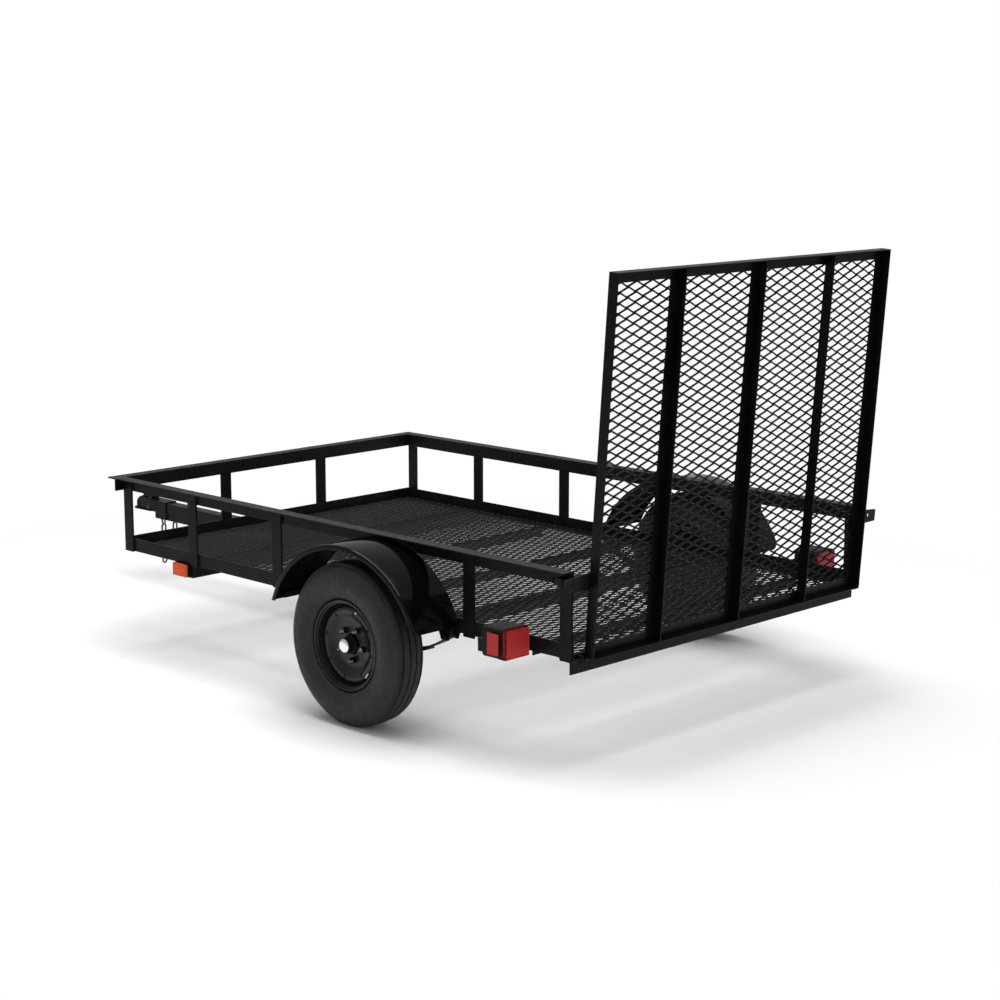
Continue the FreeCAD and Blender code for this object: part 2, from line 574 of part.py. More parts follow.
marker = box(marker_x, marker_x + MARKER_LENGTH, marker_y - 11 + SEAM, marker_y,
             marker_z, marker_z + MARKER_H)
pair("marker_lamps", [marker])

# Latch pins, drawn back in their blocks on the rear posts
block_y = POST_OUT
block = box(8, 40, block_y, LATCH_Y + 12, LATCH_Z - 12, LATCH_Z + 12)
pin = rod(LATCH_PIN_R, (-15, LATCH_Y, LATCH_Z), (58, LATCH_Y, LATCH_Z))
pin = pin.fuse(rod(LATCH_PIN_R + 3, (52, LATCH_Y, LATCH_Z), (58, LATCH_Y, LATCH_Z)))
pair("latch_pins", [block.fuse(pin).removeSplitter()])

# Gate hinge: lugs behind the rear rail, each with its pin
lug_pair = []
knuckle_out = GATE_HALF - 4
for s in (1, -1):
    y0 = s * (knuckle_out - KNUCKLE_W - 4)
    y1 = s * (BED_HALF + 20)
    one = rod(HINGE_PIN_R, (HINGE_X, y0, HINGE_Z), (HINGE_X, y1, HINGE_Z))
    lug_y = sorted((s * (GATE_HALF + 5.5), s * (GATE_HALF + 11.5)))
    one = one.fuse(box(HINGE_X - 5.5, REAR_RAIL_X, lug_y[0], lug_y[1], HINGE_Z - 12, HINGE_Z + 12))
    lug_pair.append(one.removeSplitter())
parts["hinge_lugs"] = group(lug_pair)


def lean(shape):
    out = shape.copy()
    out.rotate(V(HINGE_X, 0, HINGE_Z), V(0, -1, 0), GATE_LEAN)
    return out


# Gate: angle frame, uprights, mesh and knuckles, built upright and then leaned back
g0 = GATE_BOTTOM
g1 = GATE_BOTTOM + GATE_LENGTH
gl = GATE_ANGLE
gt = GATE_ANGLE_T
gx = GATE_FRONT
seam = 0.3
stile = angle_z(g0, g1, gx, GATE_HALF, -1, -1, gl, gt)
cross_bars = []
for z, s in ((g0, 1), (g1, -1)):
    bar = angle_y(-GATE_HALF + gt + seam, GATE_HALF - gt - seam, gx, z, -1, s, gl, gt)
    for side in (1, -1):
        y = sorted((side * (GATE_HALF - gl - seam), side * GATE_HALF))
        zz = sorted((z - s, z + s * (gl + 1)))
        bar = bar.cut(box(gx - gt - seam, gx + 1, y[0], y[1], zz[0], zz[1]))
    cross_bars.append(bar)
parts["gate_frame"] = lean(group([stile, flip(stile)] + cross_bars))
bars = []
for y in GATE_POSTS:
    s = -1 if y >= 0 else 1
    bars.append(angle_z(g0 + gt, g1 - gt, gx, y + s * gl / 2, -1, -s, gl, gt))
foot_cut = box(gx - gt, gx + 1, -GATE_HALF, GATE_HALF, g0, g0 + gl)
head_cut = box(gx - gt, gx + 1, -GATE_HALF, GATE_HALF, g1 - gl, g1)
bars = [b.cut(foot_cut).cut(head_cut) for b in bars]
parts["gate_uprights"] = lean(group(bars))
mesh_half = GATE_HALF - EAR_LAP - 2
parts["gate_mesh"] = lean(mesh_sheet(-mesh_half, mesh_half, g0 + 18, g1 - 6, DIAMOND_LONG, DIAMOND_SHORT,
                                     lambda u, v, w: (gx + SEAM + w, u, v)))
knuckles = []
for s in (1, -1):
    y = sorted((s * knuckle_out, s * (knuckle_out - KNUCKLE_W)))
    k = rod(KNUCKLE_R, (HINGE_X, y[0], HINGE_Z), (HINGE_X, y[1], HINGE_Z))
    k = k.fuse(box(gx, gx + 5, y[0], y[1], HINGE_Z, HINGE_Z + 18))
    k = k.cut(box(gx - 20, gx, y[0] - 1, y[1] + 1, 0, 500))
    k = k.cut(rod(HINGE_PIN_R + 0.06, (HINGE_X, y[0] - 1, HINGE_Z), (HINGE_X, y[1] + 1, HINGE_Z)))
    knuckles.append(k.removeSplitter())
parts["gate_knuckles"] = lean(group(knuckles))
# Latch ears: tapering plates on the stiles' front faces, reaching out over the top rails' ends
ear_in = GATE_HALF - EAR_LAP
ear_out = BED_HALF + EAR_OUT
ear = prism([(gx + SEAM, ear_in, LATCH_Z - 28), (gx + SEAM, ear_out, LATCH_Z - 26),
             (gx + SEAM, ear_out, LATCH_Z + 17), (gx + SEAM, ear_in, LATCH_Z + 28)], (EAR_T, 0, 0))
ear = ear.cut(rod(LATCH_PIN_R + 1.5, (gx - 10, LATCH_Y, LATCH_Z), (gx + 20, LATCH_Y, LATCH_Z)))
parts["latch_ears"] = lean(group([ear, flip(ear)]))

# The origin lies on the ground under the middle of the whole trailer
x_front = max(s.BoundBox.XMax for s in parts.values())
x_rear = min(s.BoundBox.XMin for s in parts.values())
shift = V(-(x_front + x_rear) / 2, 0, 0)
for name, shape in parts.items():
    out = shape.copy()
    out.translate(shift)
    out.exportStep("parts/" + name + ".step")
print("nodes", len(parts), "shift", round(shift.x, 3))
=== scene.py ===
# %% [markdown]
# # A black utility trailer
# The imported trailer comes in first, as a fixed frame in metres: +X forward to the coupler, +Y to the
# left, +Z up and the ground at zero. Everything that this lesson adds is placed by that frame, so
# nothing has to be fitted by eye.

# %% Load the frame
import json
import math

import bmesh
import bpy
from mathutils import Matrix, Vector


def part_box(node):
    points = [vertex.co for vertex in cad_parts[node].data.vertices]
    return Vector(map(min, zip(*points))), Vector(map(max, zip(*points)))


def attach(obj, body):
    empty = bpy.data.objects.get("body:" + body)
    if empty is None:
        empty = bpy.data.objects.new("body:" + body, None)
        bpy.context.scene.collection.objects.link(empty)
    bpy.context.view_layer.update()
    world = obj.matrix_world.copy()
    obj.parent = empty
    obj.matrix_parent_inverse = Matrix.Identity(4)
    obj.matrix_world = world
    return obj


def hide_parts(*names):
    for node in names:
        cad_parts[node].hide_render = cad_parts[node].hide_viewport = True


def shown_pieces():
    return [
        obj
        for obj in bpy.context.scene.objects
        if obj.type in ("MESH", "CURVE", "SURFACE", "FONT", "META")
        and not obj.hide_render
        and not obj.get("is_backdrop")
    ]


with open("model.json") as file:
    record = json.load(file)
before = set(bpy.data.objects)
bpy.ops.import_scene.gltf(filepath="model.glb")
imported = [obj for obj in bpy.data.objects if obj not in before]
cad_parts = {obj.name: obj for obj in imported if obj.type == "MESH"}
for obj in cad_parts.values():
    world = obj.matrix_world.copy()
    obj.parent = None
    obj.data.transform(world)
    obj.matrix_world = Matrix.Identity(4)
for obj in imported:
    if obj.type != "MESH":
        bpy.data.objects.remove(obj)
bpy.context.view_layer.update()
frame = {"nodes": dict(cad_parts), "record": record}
nodes = frame["nodes"]
print("pieces in the frame:", len(nodes))

# %% [markdown]
# ## Where things are
# The workshop drawing of the trailer measures from the rear end of the bed, in millimetres. One small
# function turns such a point into the frame's metres, and the sizes that several pieces share are
# written once beside it.

# %% The drawing's own measures
BED_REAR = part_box("side_rail_left")[0].x
AXLE_X, AXLE_Z = 886, 290         # the line of the axle
WHEEL_Y = 911                     # the middle of the left tyre
HINGE_X, HINGE_Z = -5.5, 366      # the line of the gate's hinge
GATE_LEAN = math.radians(4.2)


def at(x, y, z):
    """A point of the drawing, from the bed's rear end in millimetres, as metres in the frame."""
    return Vector((x / 1000 + BED_REAR, y / 1000, z / 1000))


print("rear end of the bed at x =", round(BED_REAR, 4))


# %% [markdown]
# ## The camera
# The photograph was taken from behind and to the left, a little over two metres up, with a lens a bit
# longer than normal. The view is level, so the camera's up is the world's up.

# %% Camera
VIEW_FROM = Vector((-6.1415, 5.6321, 2.1536))
VIEW_AZIMUTH = math.radians(224.79)
VIEW_ELEVATION = math.radians(10.78)
FOCAL_SHARE = 2.1279      # focal length over the image's width
SENSOR = 36.0

back = Vector((math.sin(VIEW_AZIMUTH) * math.cos(VIEW_ELEVATION),
               -math.cos(VIEW_AZIMUTH) * math.cos(VIEW_ELEVATION),
               math.sin(VIEW_ELEVATION)))
camera_data = bpy.data.cameras.new("photo_camera")
camera_data.sensor_width = SENSOR
camera_data.lens = FOCAL_SHARE * SENSOR
camera_data.clip_end = 200.0
camera = bpy.data.objects.new("photo_camera", camera_data)
bpy.context.scene.collection.objects.link(camera)
camera.location = VIEW_FROM
camera.rotation_euler = (-back).to_track_quat("-Z", "Y").to_euler()
bpy.context.scene.camera = camera
bpy.context.scene.view_settings.view_transform = "Standard"
print("lens in mm:", round(camera_data.lens, 2))


# %% [markdown]
# ## Studio: floor, world and lamps
# The picture has a white floor that runs into a white background, and a broad soft light high over
# the trailer, with a weaker one behind it. The floor is a real pale floor where the shadow falls, and
# further out it turns by degrees into plain white for the eye of the camera and through clear plastic
# only, so no extra light reaches the trailer. The world does the same.

# %% Floor
FLOOR_SIZE = 80.0
FLOOR_GREY = (0.78, 0.78, 0.785)
FADE_FROM, FADE_TO = 1.7, 3.3     # metres from the middle of the trailer
bpy.ops.object.select_all(action="DESELECT")
bpy.ops.mesh.primitive_plane_add(size=FLOOR_SIZE, location=(0, 0, 0))
floor = bpy.context.active_object
floor.name = "studio_floor"
floor_finish = bpy.data.materials.new("studio_floor")
floor_finish.use_nodes = True
t = floor_finish.node_tree
floor_shader = t.nodes["Principled BSDF"]
floor_shader.inputs["Base Color"].default_value = (*FLOOR_GREY, 1)
floor_shader.inputs["Roughness"].default_value = 0.9
floor_shader.inputs["Specular IOR Level"].default_value = 0.1
coords = t.nodes.new("ShaderNodeTexCoord")
far = t.nodes.new("ShaderNodeVectorMath")
far.operation = "LENGTH"
t.links.new(coords.outputs["Object"], far.inputs[0])
fade = t.nodes.new("ShaderNodeMapRange")
fade.interpolation_type = "SMOOTHSTEP"
fade.inputs["From Min"].default_value = FADE_FROM
fade.inputs["From Max"].default_value = FADE_TO
t.links.new(far.outputs["Value"], fade.inputs["Value"])


def seen_directly(t):
    """1 for the camera's own rays and those that come through clear plastic, else 0."""
    path = t.nodes.new("ShaderNodeLightPath")
    larger = t.nodes.new("ShaderNodeMath")
    larger.operation = "MAXIMUM"
    t.links.new(path.outputs["Is Camera Ray"], larger.inputs[0])
    t.links.new(path.outputs["Is Transmission Ray"], larger.inputs[1])
    return larger.outputs[0]


share = t.nodes.new("ShaderNodeMath")
share.operation = "MULTIPLY"
t.links.new(fade.outputs["Result"], share.inputs[0])
t.links.new(seen_directly(t), share.inputs[1])
white = t.nodes.new("ShaderNodeEmission")
white.inputs["Color"].default_value = (1, 1, 1, 1)
white.inputs["Strength"].default_value = 1.0
mixed = t.nodes.new("ShaderNodeMixShader")
t.links.new(share.outputs[0], mixed.inputs[0])
t.links.new(floor_shader.outputs[0], mixed.inputs[1])
t.links.new(white.outputs[0], mixed.inputs[2])
t.links.new(mixed.outputs[0], t.nodes["Material Output"].inputs["Surface"])
floor.data.materials.append(floor_finish)
floor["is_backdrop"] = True
print("floor fades to white from", FADE_FROM, "to", FADE_TO, "m")

# %% World
WORLD_ON_OBJECT = 0.47            # the strength of the world for all other rays
world = bpy.data.worlds.new("studio_world")
bpy.context.scene.world = world
world.use_nodes = True
tree = world.node_tree
tree.nodes.clear()
grey = tree.nodes.new("ShaderNodeBackground")
grey.inputs["Color"].default_value = (1, 1, 1, 1)
grey.inputs["Strength"].default_value = WORLD_ON_OBJECT
white = tree.nodes.new("ShaderNodeBackground")
white.inputs["Color"].default_value = (1, 1, 1, 1)
white.inputs["Strength"].default_value = 1.0
mixed = tree.nodes.new("ShaderNodeMixShader")
out = tree.nodes.new("ShaderNodeOutputWorld")
tree.links.new(seen_directly(tree), mixed.inputs[0])
tree.links.new(grey.outputs[0], mixed.inputs[1])
tree.links.new(white.outputs[0], mixed.inputs[2])
tree.links.new(mixed.outputs[0], out.inputs["Surface"])


# %% Lamps
def soft_lamp(name, place, target, size, watts):
    """A rectangular lamp of the given size in metres, aimed at the target."""
    data = bpy.data.lights.new(name, "AREA")
    data.shape = "RECTANGLE"
    data.size = size[0]
    data.size_y = size[1]
    data.energy = watts
    lamp = bpy.data.objects.new(name, data)
    bpy.context.scene.collection.objects.link(lamp)
    lamp.location = place
    lamp.rotation_euler = (Vector(target) - Vector(place)).to_track_quat("-Z", "Y").to_euler()


soft_lamp("overhead_lamp", place=(-0.4, 0.2, 5.5), target=(-0.4, 0.2, 0), size=(6.5, 4.6), watts=440)
soft_lamp("rear_lamp", place=(-6.5, 3.0, 3.0), target=(-1.0, 0, 0.5), size=(3.0, 3.0), watts=50)


# %% [markdown]
# ## Finishes
# Nearly all of the trailer is mild steel under one coat of black paint. Up close such paint has a
# faint orange peel, it is duller in some places than in others, and handling leaves fine grey scuffs.
# Each finish below is a small recipe over noise in object coordinates, so it stays put when a piece
# moves.

# %% Helpers for finishes
def finish_base(name, colour, roughness, specular=0.5, metallic=0.0):
    """A new material with its shader, and object coordinates to build on."""
    material = bpy.data.materials.new(name)
    material.use_nodes = True
    t = material.node_tree
    shader = t.nodes["Principled BSDF"]
    shader.inputs["Base Color"].default_value = (*colour, 1)
    shader.inputs["Roughness"].default_value = roughness
    shader.inputs["Specular IOR Level"].default_value = specular
    shader.inputs["Metallic"].default_value = metallic
    coords = t.nodes.new("ShaderNodeTexCoord")
    return material, t, shader, coords


def noise(t, coords, scale, detail=3.0, roughness=0.5, stretch=None):
    """Noise in object coordinates, drawn out along an axis where stretch says so."""
    n = t.nodes.new("ShaderNodeTexNoise")
    n.inputs["Scale"].default_value = scale
    n.inputs["Detail"].default_value = detail
    n.inputs["Roughness"].default_value = roughness
    source = coords.outputs["Object"]
    if stretch:
        pulled = t.nodes.new("ShaderNodeMapping")
        pulled.inputs["Scale"].default_value = stretch
        t.links.new(source, pulled.inputs["Vector"])
        source = pulled.outputs["Vector"]
    t.links.new(source, n.inputs["Vector"])
    return n


def ramp(t, source, low, high, at=(0.35, 0.65)):
    """Turns noise into colours or values between low and high."""
    r = t.nodes.new("ShaderNodeValToRGB")
    r.color_ramp.elements[0].position = at[0]
    r.color_ramp.elements[1].position = at[1]
    r.color_ramp.elements[0].color = (*low, 1) if isinstance(low, tuple) else (low, low, low, 1)
    r.color_ramp.elements[1].color = (*high, 1) if isinstance(high, tuple) else (high, high, high, 1)
    t.links.new(source.outputs["Fac"], r.inputs["Fac"])
    return r


def bump(t, source, shader, strength, distance):
    """Lets a pattern raise the surface of a shader."""
    b = t.nodes.new("ShaderNodeBump")
    b.inputs["Strength"].default_value = strength
    b.inputs["Distance"].default_value = distance
    t.links.new(source.outputs["Fac"], b.inputs["Height"])
    t.links.new(b.outputs["Normal"], shader.inputs["Normal"])


def over(t, below, above, mask):
    """Lays one colour over another where the mask is bright."""
    m = t.nodes.new("ShaderNodeMix")
    m.data_type = "RGBA"
    t.links.new(mask, m.inputs["Factor"])
    t.links.new(below, m.inputs["A"])
    m.inputs["B"].default_value = (*above, 1)
    return m.outputs["Result"]


# %% Paints
SCUFF_GREY = (0.03, 0.03, 0.031)
PEEL_DEPTH = 0.0004


def painted(name, dark, light, rough, specular, peel, scuffs):
    """Paint between two shades and two roughnesses, with orange peel and scuffs of a given strength."""
    material, t, shader, coords = finish_base(name, dark, rough[0], specular)
    cloud = noise(t, coords, 9.0, 4.0, 0.6)
    colour = ramp(t, cloud, dark, light).outputs["Color"]
    marks = ramp(t, noise(t, coords, 42.0, 6.0, 0.7, (1.0, 1.0, 5.0)), 0.0, scuffs, (0.64, 0.78))
    t.links.new(over(t, colour, SCUFF_GREY, marks.outputs["Color"]), shader.inputs["Base Color"])
    haze = noise(t, coords, 38.0, 3.0, 0.6)
    t.links.new(ramp(t, haze, *rough).outputs["Color"], shader.inputs["Roughness"])
    bump(t, noise(t, coords, 900.0, 2.0), shader, peel, PEEL_DEPTH)
    return material


black_paint = painted("rail_paint", (0.0045, 0.0045, 0.0047), (0.0068, 0.0068, 0.007),
                      rough=(0.3, 0.42), specular=0.085, peel=0.12, scuffs=0.12)
# The gate takes the rails' black paint in a darker tone, as painted shade.
shaded_gate_paint = painted("shaded_gate_paint", (0.0018, 0.0018, 0.0019), (0.003, 0.003, 0.0031),
                     rough=(0.3, 0.4), specular=0.12, peel=0.1, scuffs=0.12)
fender_paint = painted("fender_gloss", (0.0015, 0.0015, 0.0016), (0.002, 0.002, 0.0021),
                       rough=(0.05, 0.09), specular=0.13, peel=0.03, scuffs=0.04)
# The hollow side of each fender: a duller paint whose darker tone is painted shade.
shaded_inside_paint = painted("fender_inside_shaded", (0.0005, 0.0005, 0.0005), (0.0009, 0.0009, 0.0009),
                       rough=(0.6, 0.8), specular=0.02, peel=0.1, scuffs=0.04)
mesh_paint = painted("deck_paint", (0.005, 0.005, 0.0052), (0.009, 0.009, 0.0092),
                     rough=(0.32, 0.46), specular=0.14, peel=0.1, scuffs=0.3)
wheel_paint = painted("wheel_gloss", (0.008, 0.008, 0.0082), (0.012, 0.012, 0.0122),
                      rough=(0.22, 0.32), specular=0.26, peel=0.06, scuffs=0.1)
spring_paint = painted("spring_dull", (0.005, 0.005, 0.005), (0.009, 0.009, 0.009),
                       rough=(0.42, 0.6), specular=0.2, peel=0.2, scuffs=0.25)
print("paints:", [m.name for m in (black_paint, shaded_gate_paint, fender_paint, shaded_inside_paint, mesh_paint,
                                   wheel_paint, spring_paint)])

# %% Rubber, zinc, chrome and moulded black plastic
tyre_rubber, t, shader, coords = finish_base("tyre_rubber", (0.012, 0.012, 0.012), 0.6, 0.3)
cloud = ramp(t, noise(t, coords, 16.0, 5.0, 0.6), (0.01, 0.01, 0.01), (0.016, 0.016, 0.0157))
dust = ramp(t, noise(t, coords, 55.0, 6.0, 0.7), 0.0, 0.5, (0.55, 0.8))
t.links.new(over(t, cloud.outputs["Color"], (0.034, 0.033, 0.031), dust.outputs["Color"]),
            shader.inputs["Base Color"])
t.links.new(ramp(t, noise(t, coords, 60.0, 3.0), 0.5, 0.66).outputs["Color"], shader.inputs["Roughness"])
bump(t, noise(t, coords, 700.0, 3.0), shader, 0.2, 0.0005)

zinc, t, shader, coords = finish_base("zinc_plate", (0.55, 0.56, 0.57), 0.35, 0.5, 1.0)
spangle = ramp(t, noise(t, coords, 120.0, 4.0), (0.42, 0.43, 0.45), (0.62, 0.62, 0.6))
t.links.new(spangle.outputs["Color"], shader.inputs["Base Color"])
haze = ramp(t, noise(t, coords, 200.0, 3.0), 0.28, 0.45)
t.links.new(haze.outputs["Color"], shader.inputs["Roughness"])
bump(t, noise(t, coords, 1500.0, 2.0), shader, 0.1, 0.0003)

chrome, t, shader, coords = finish_base("chrome", (0.8, 0.8, 0.82), 0.12, 0.5, 1.0)
haze = ramp(t, noise(t, coords, 50.0, 3.0), 0.07, 0.15)
t.links.new(haze.outputs["Color"], shader.inputs["Roughness"])
bump(t, noise(t, coords, 1800.0, 2.0), shader, 0.03, 0.0002)

dark_chrome, t, shader, coords = finish_base("dark_chrome", (0.09, 0.09, 0.092), 0.12, 0.5, 1.0)
cloud = ramp(t, noise(t, coords, 60.0, 3.0), (0.07, 0.07, 0.072), (0.12, 0.12, 0.12))
t.links.new(cloud.outputs["Color"], shader.inputs["Base Color"])
haze = ramp(t, noise(t, coords, 90.0, 3.0), 0.1, 0.2)
t.links.new(haze.outputs["Color"], shader.inputs["Roughness"])

lamp_black, t, shader, coords = finish_base("lamp_plastic", (0.004, 0.004, 0.004), 0.42, 0.12)
t.links.new(ramp(t, noise(t, coords, 80.0, 3.0), 0.36, 0.5).outputs["Color"], shader.inputs["Roughness"])
bump(t, noise(t, coords, 1200.0, 2.0), shader, 0.15, 0.0003)


# %% [markdown]
# ## Lens plastic
# A lamp's lens is clear coloured plastic over a pale reflector, with small ribs or pips moulded
# inside. Seen from outside it reads as a deep colour with a fine regular grain under a smooth, glossy
# skin, so a wave pattern bends the light in the body and a coat stays smooth above it.

# %% Lens finish
def lens_plastic(name, colour, deep, ribs):
    """Clear coloured plastic with a fine ribbed grain inside and a smooth coat outside."""
    material, t, shader, coords = finish_base(name, colour, 0.2, 0.12)
    grain = t.nodes.new("ShaderNodeTexWave")
    grain.wave_type = "BANDS"
    grain.bands_direction = "Z"
    grain.inputs["Scale"].default_value = ribs
    grain.inputs["Distortion"].default_value = 0.0
    t.links.new(coords.outputs["Object"], grain.inputs["Vector"])
    t.links.new(ramp(t, grain, deep, colour, (0.1, 0.9)).outputs["Color"], shader.inputs["Base Color"])
    haze = noise(t, coords, 90.0, 2.0)
    t.links.new(ramp(t, haze, 0.18, 0.3).outputs["Color"], shader.inputs["Roughness"])
    bump(t, grain, shader, 0.35, 0.0006)
    shader.inputs["Coat Weight"].default_value = 0.06
    shader.inputs["Coat Roughness"].default_value = 0.06
    return material


red_lens = lens_plastic("red_plastic", (0.47, 0.035, 0.036), (0.32, 0.016, 0.018), 80.0)
amber_lens = lens_plastic("amber_plastic", (0.74, 0.105, 0.02), (0.56, 0.07, 0.012), 60.0)

# %% Finishes on the frame's own pieces
FINISHES = {"black_paint": black_paint, "mesh_paint": mesh_paint, "wheel_paint": wheel_paint,
            "spring_steel": spring_paint, "tyre": tyre_rubber, "zinc": zinc, "hub": chrome,
            "lamp_body": lamp_black, "red_lens": red_lens, "amber_lens": amber_lens}
slot_of = {p["node"]: p["material_slot"] for p in frame["record"]["subparts"]}
for name, node in nodes.items():
    # Pieces of the gate get the darker paint, as painted shade.
    finish = shaded_gate_paint if name.startswith("gate_") else FINISHES[slot_of[name]]
    if not node.data.materials:
        node.data.materials.append(finish)
    for i in range(len(node.data.materials)):
        node.data.materials[i] = finish
print("finishes given to", len(nodes), "pieces")


# %% [markdown]
# ## Tools for modelling
# Every new piece below is made the same way: a primitive at its place, shaped in edit mode, closed
# with its faces turned outwards, and given a finish and a body to ride on. These helpers keep each of
# those steps to one line. A selection is made in code, by where a face, edge or corner is and which
# way it points.

# %% Starting and selecting
def clear():
    """Back in object mode with nothing selected."""
    if bpy.context.object is not None and bpy.context.object.mode != "OBJECT":
        bpy.ops.object.mode_set(mode="OBJECT")
    bpy.ops.object.select_all(action="DESELECT")


def only(piece):
    """Makes a piece the one that is selected and active."""
    clear()
    piece.select_set(True)
    bpy.context.view_layer.objects.active = piece


def begin(kind, name, **where):
    """Adds a primitive and opens it in edit mode with all of it selected."""
    clear()
    getattr(bpy.ops.mesh, "primitive_" + kind + "_add")(**where)
    piece = bpy.context.active_object
    piece.name = name
    piece.data.name = name
    bpy.ops.object.transform_apply(location=True, rotation=True, scale=True)
    bpy.ops.object.mode_set(mode="EDIT")
    bpy.ops.mesh.select_mode(type="VERT")
    bpy.ops.mesh.select_all(action="SELECT")
    return piece


def pick(piece, kind, test):
    """Selects the open piece's faces, edges or verts for which test(place, direction) holds."""
    bpy.ops.mesh.select_mode(type={"faces": "FACE", "edges": "EDGE", "verts": "VERT"}[kind])
    bpy.ops.mesh.select_all(action="DESELECT")
    shape = bmesh.from_edit_mesh(piece.data)
    found = 0
    for part in getattr(shape, kind):
        if kind == "faces":
            place, way = part.calc_center_median(), part.normal
        elif kind == "edges":
            a, b = (v.co for v in part.verts)
            place, way = (a + b) / 2, (b - a).normalized()
        else:
            place, way = part.co, part.normal
        if test(place, way):
            part.select_set(True)
            found += 1
    shape.select_flush(True)
    bmesh.update_edit_mesh(piece.data)
    return found


# %% Closing, copying and dressing
def close(piece, smooth=30.0):
    """Merges doubles, turns the faces outwards, leaves edit mode and shades the piece."""
    only(piece)
    bpy.ops.object.mode_set(mode="EDIT")
    bpy.ops.mesh.select_all(action="SELECT")
    bpy.ops.mesh.remove_doubles(threshold=0.00002)
    bpy.ops.mesh.normals_make_consistent(inside=False)
    bpy.ops.object.mode_set(mode="OBJECT")
    bpy.ops.object.shade_smooth_by_angle(angle=math.radians(smooth))
    return piece


def modified(piece, kind, **settings):
    """Adds one modifier with its settings and applies it."""
    only(piece)
    m = piece.modifiers.new(kind.title(), kind)
    for key, value in settings.items():
        setattr(m, key, value)
    bpy.ops.object.modifier_apply(modifier=m.name)


def laid(piece, matrix):
    """Moves a finished piece and puts its place into its mesh."""
    only(piece)
    piece.matrix_world = matrix
    bpy.ops.object.transform_apply(location=True, rotation=True, scale=True)
    return piece


def twin_of(piece, name):
    """A copy with a mesh of its own."""
    only(piece)
    bpy.ops.object.duplicate(linked=False)
    twin = bpy.context.active_object
    twin.name = twin.data.name = name
    return twin


def other_side(piece, name):
    """A copy mirrored to the right side, with its faces turned out again."""
    twin = twin_of(piece, name)
    bpy.ops.object.mode_set(mode="EDIT")
    bpy.ops.mesh.select_all(action="SELECT")
    bpy.ops.transform.resize(value=(1, -1, 1), center_override=(0, 0, 0))
    bpy.ops.mesh.flip_normals()
    bpy.ops.object.mode_set(mode="OBJECT")
    return twin


def joined(name, pieces):
    """Joins pieces into one under a new name."""
    clear()
    for piece in pieces:
        piece.select_set(True)
    bpy.context.view_layer.objects.active = pieces[0]
    bpy.ops.object.join()
    whole = bpy.context.active_object
    whole.name = whole.data.name = name
    return whole


POINTING = {"up": Matrix.Identity(4), "down": Matrix.Rotation(math.pi, 4, "X"),
            "left": Matrix.Rotation(-math.pi / 2, 4, "X"), "right": Matrix.Rotation(math.pi / 2, 4, "X"),
            "back": Matrix.Rotation(-math.pi / 2, 4, "Y"), "front": Matrix.Rotation(math.pi / 2, 4, "Y")}


def repeated(pattern, name, spots, base=Matrix.Identity(4)):
    """Copies a shape that points up from the origin to each (place, way), and joins the copies."""
    copies = []
    for i, (place, way) in enumerate(spots):
        copy = twin_of(pattern, name + "_" + str(i))
        copies.append(laid(copy, base @ Matrix.Translation(place) @ POINTING[way]))
    return joined(name, copies)


def away(pattern):
    """Takes a pattern off the bench once its copies are made."""
    bpy.data.objects.remove(pattern, do_unlink=True)


def dress(piece, body, finish, slot, *stands_for):
    """Gives a piece its finish, the body it rides on and the frame's pieces it stands for; the slot is
    not used.
    """
    piece.data.materials.clear()
    piece.data.materials.append(finish)
    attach(piece, body)
    if stands_for:
        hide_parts(*stands_for)
    print(piece.name, "rides on", body, "with", len(piece.data.polygons), "faces")


def dress_both(piece, body, finish, slot, *stands_for):
    """Dresses a left-hand piece and its mirror image, whose names say right where these say left."""
    dress(piece, body, finish, slot, *stands_for)
    twin = other_side(piece, piece.name.replace("_left", "_right"))
    across = [node.replace("_left", "_right") for node in stands_for if node.endswith("_left")]
    dress(twin, body.replace("_left", "_right"), finish, slot, *across)
    return twin


# %% A lathe
AXIS = {"Y": Vector((0, 1, 0)), "Z": Vector((0, 0, 1))}
STAND = {"Y": (-math.pi / 2, 0, 0), "Z": (0, 0, 0)}


def turned(name, stations, sides, centre, axis="Y", solid=True):
    """Draws a circle out from station to station, each (radius, way along the axis), in metres."""
    along = AXIS[axis]
    centre = Vector(centre)
    r0, a0 = stations[0]
    piece = begin("circle", name, vertices=sides, radius=r0, fill_type="NGON" if solid else "NOTHING",
                  location=centre + along * a0, rotation=STAND[axis])
    for (r_was, a_was), (r, a) in zip(stations, stations[1:]):
        bpy.ops.mesh.extrude_region_move(TRANSFORM_OT_translate={"value": along * (a - a_was)})
        grow = r / r_was
        bpy.ops.transform.resize(value=[1 if along[i] else grow for i in range(3)],
                                 center_override=centre + along * a)
    return piece


def mm(stations):
    """Stations given in millimetres, turned into metres."""
    return [(r / 1000, a / 1000) for r, a in stations]


# %% [markdown]
# ## Expanded steel for the deck and the gate
# This sheet is slit in staggered rows and then pulled, so each slit opens into a diamond and each
# strand between two slits twists until it stands almost on edge. It could be drawn as a bump pattern,
# but light goes through it and it shows its thickness from low down. So one diamond is modelled: a
# rhombus inset to a ring, its short corners widened into the bonds where four strands meet, and its
# inner loop pulled up at one end and down at the other. A sister ring half a diamond away closes the
# pattern, and arrays repeat the two. Cutting the field to its border leaves the cut strands that a
# real sheet has, and Solidify gives the steel its thickness at last.

# %% The sheet
LONG_WAY, SHORT_WAY = 0.0762, 0.0338
BOND = 0.0026                     # how far the bonds are widened


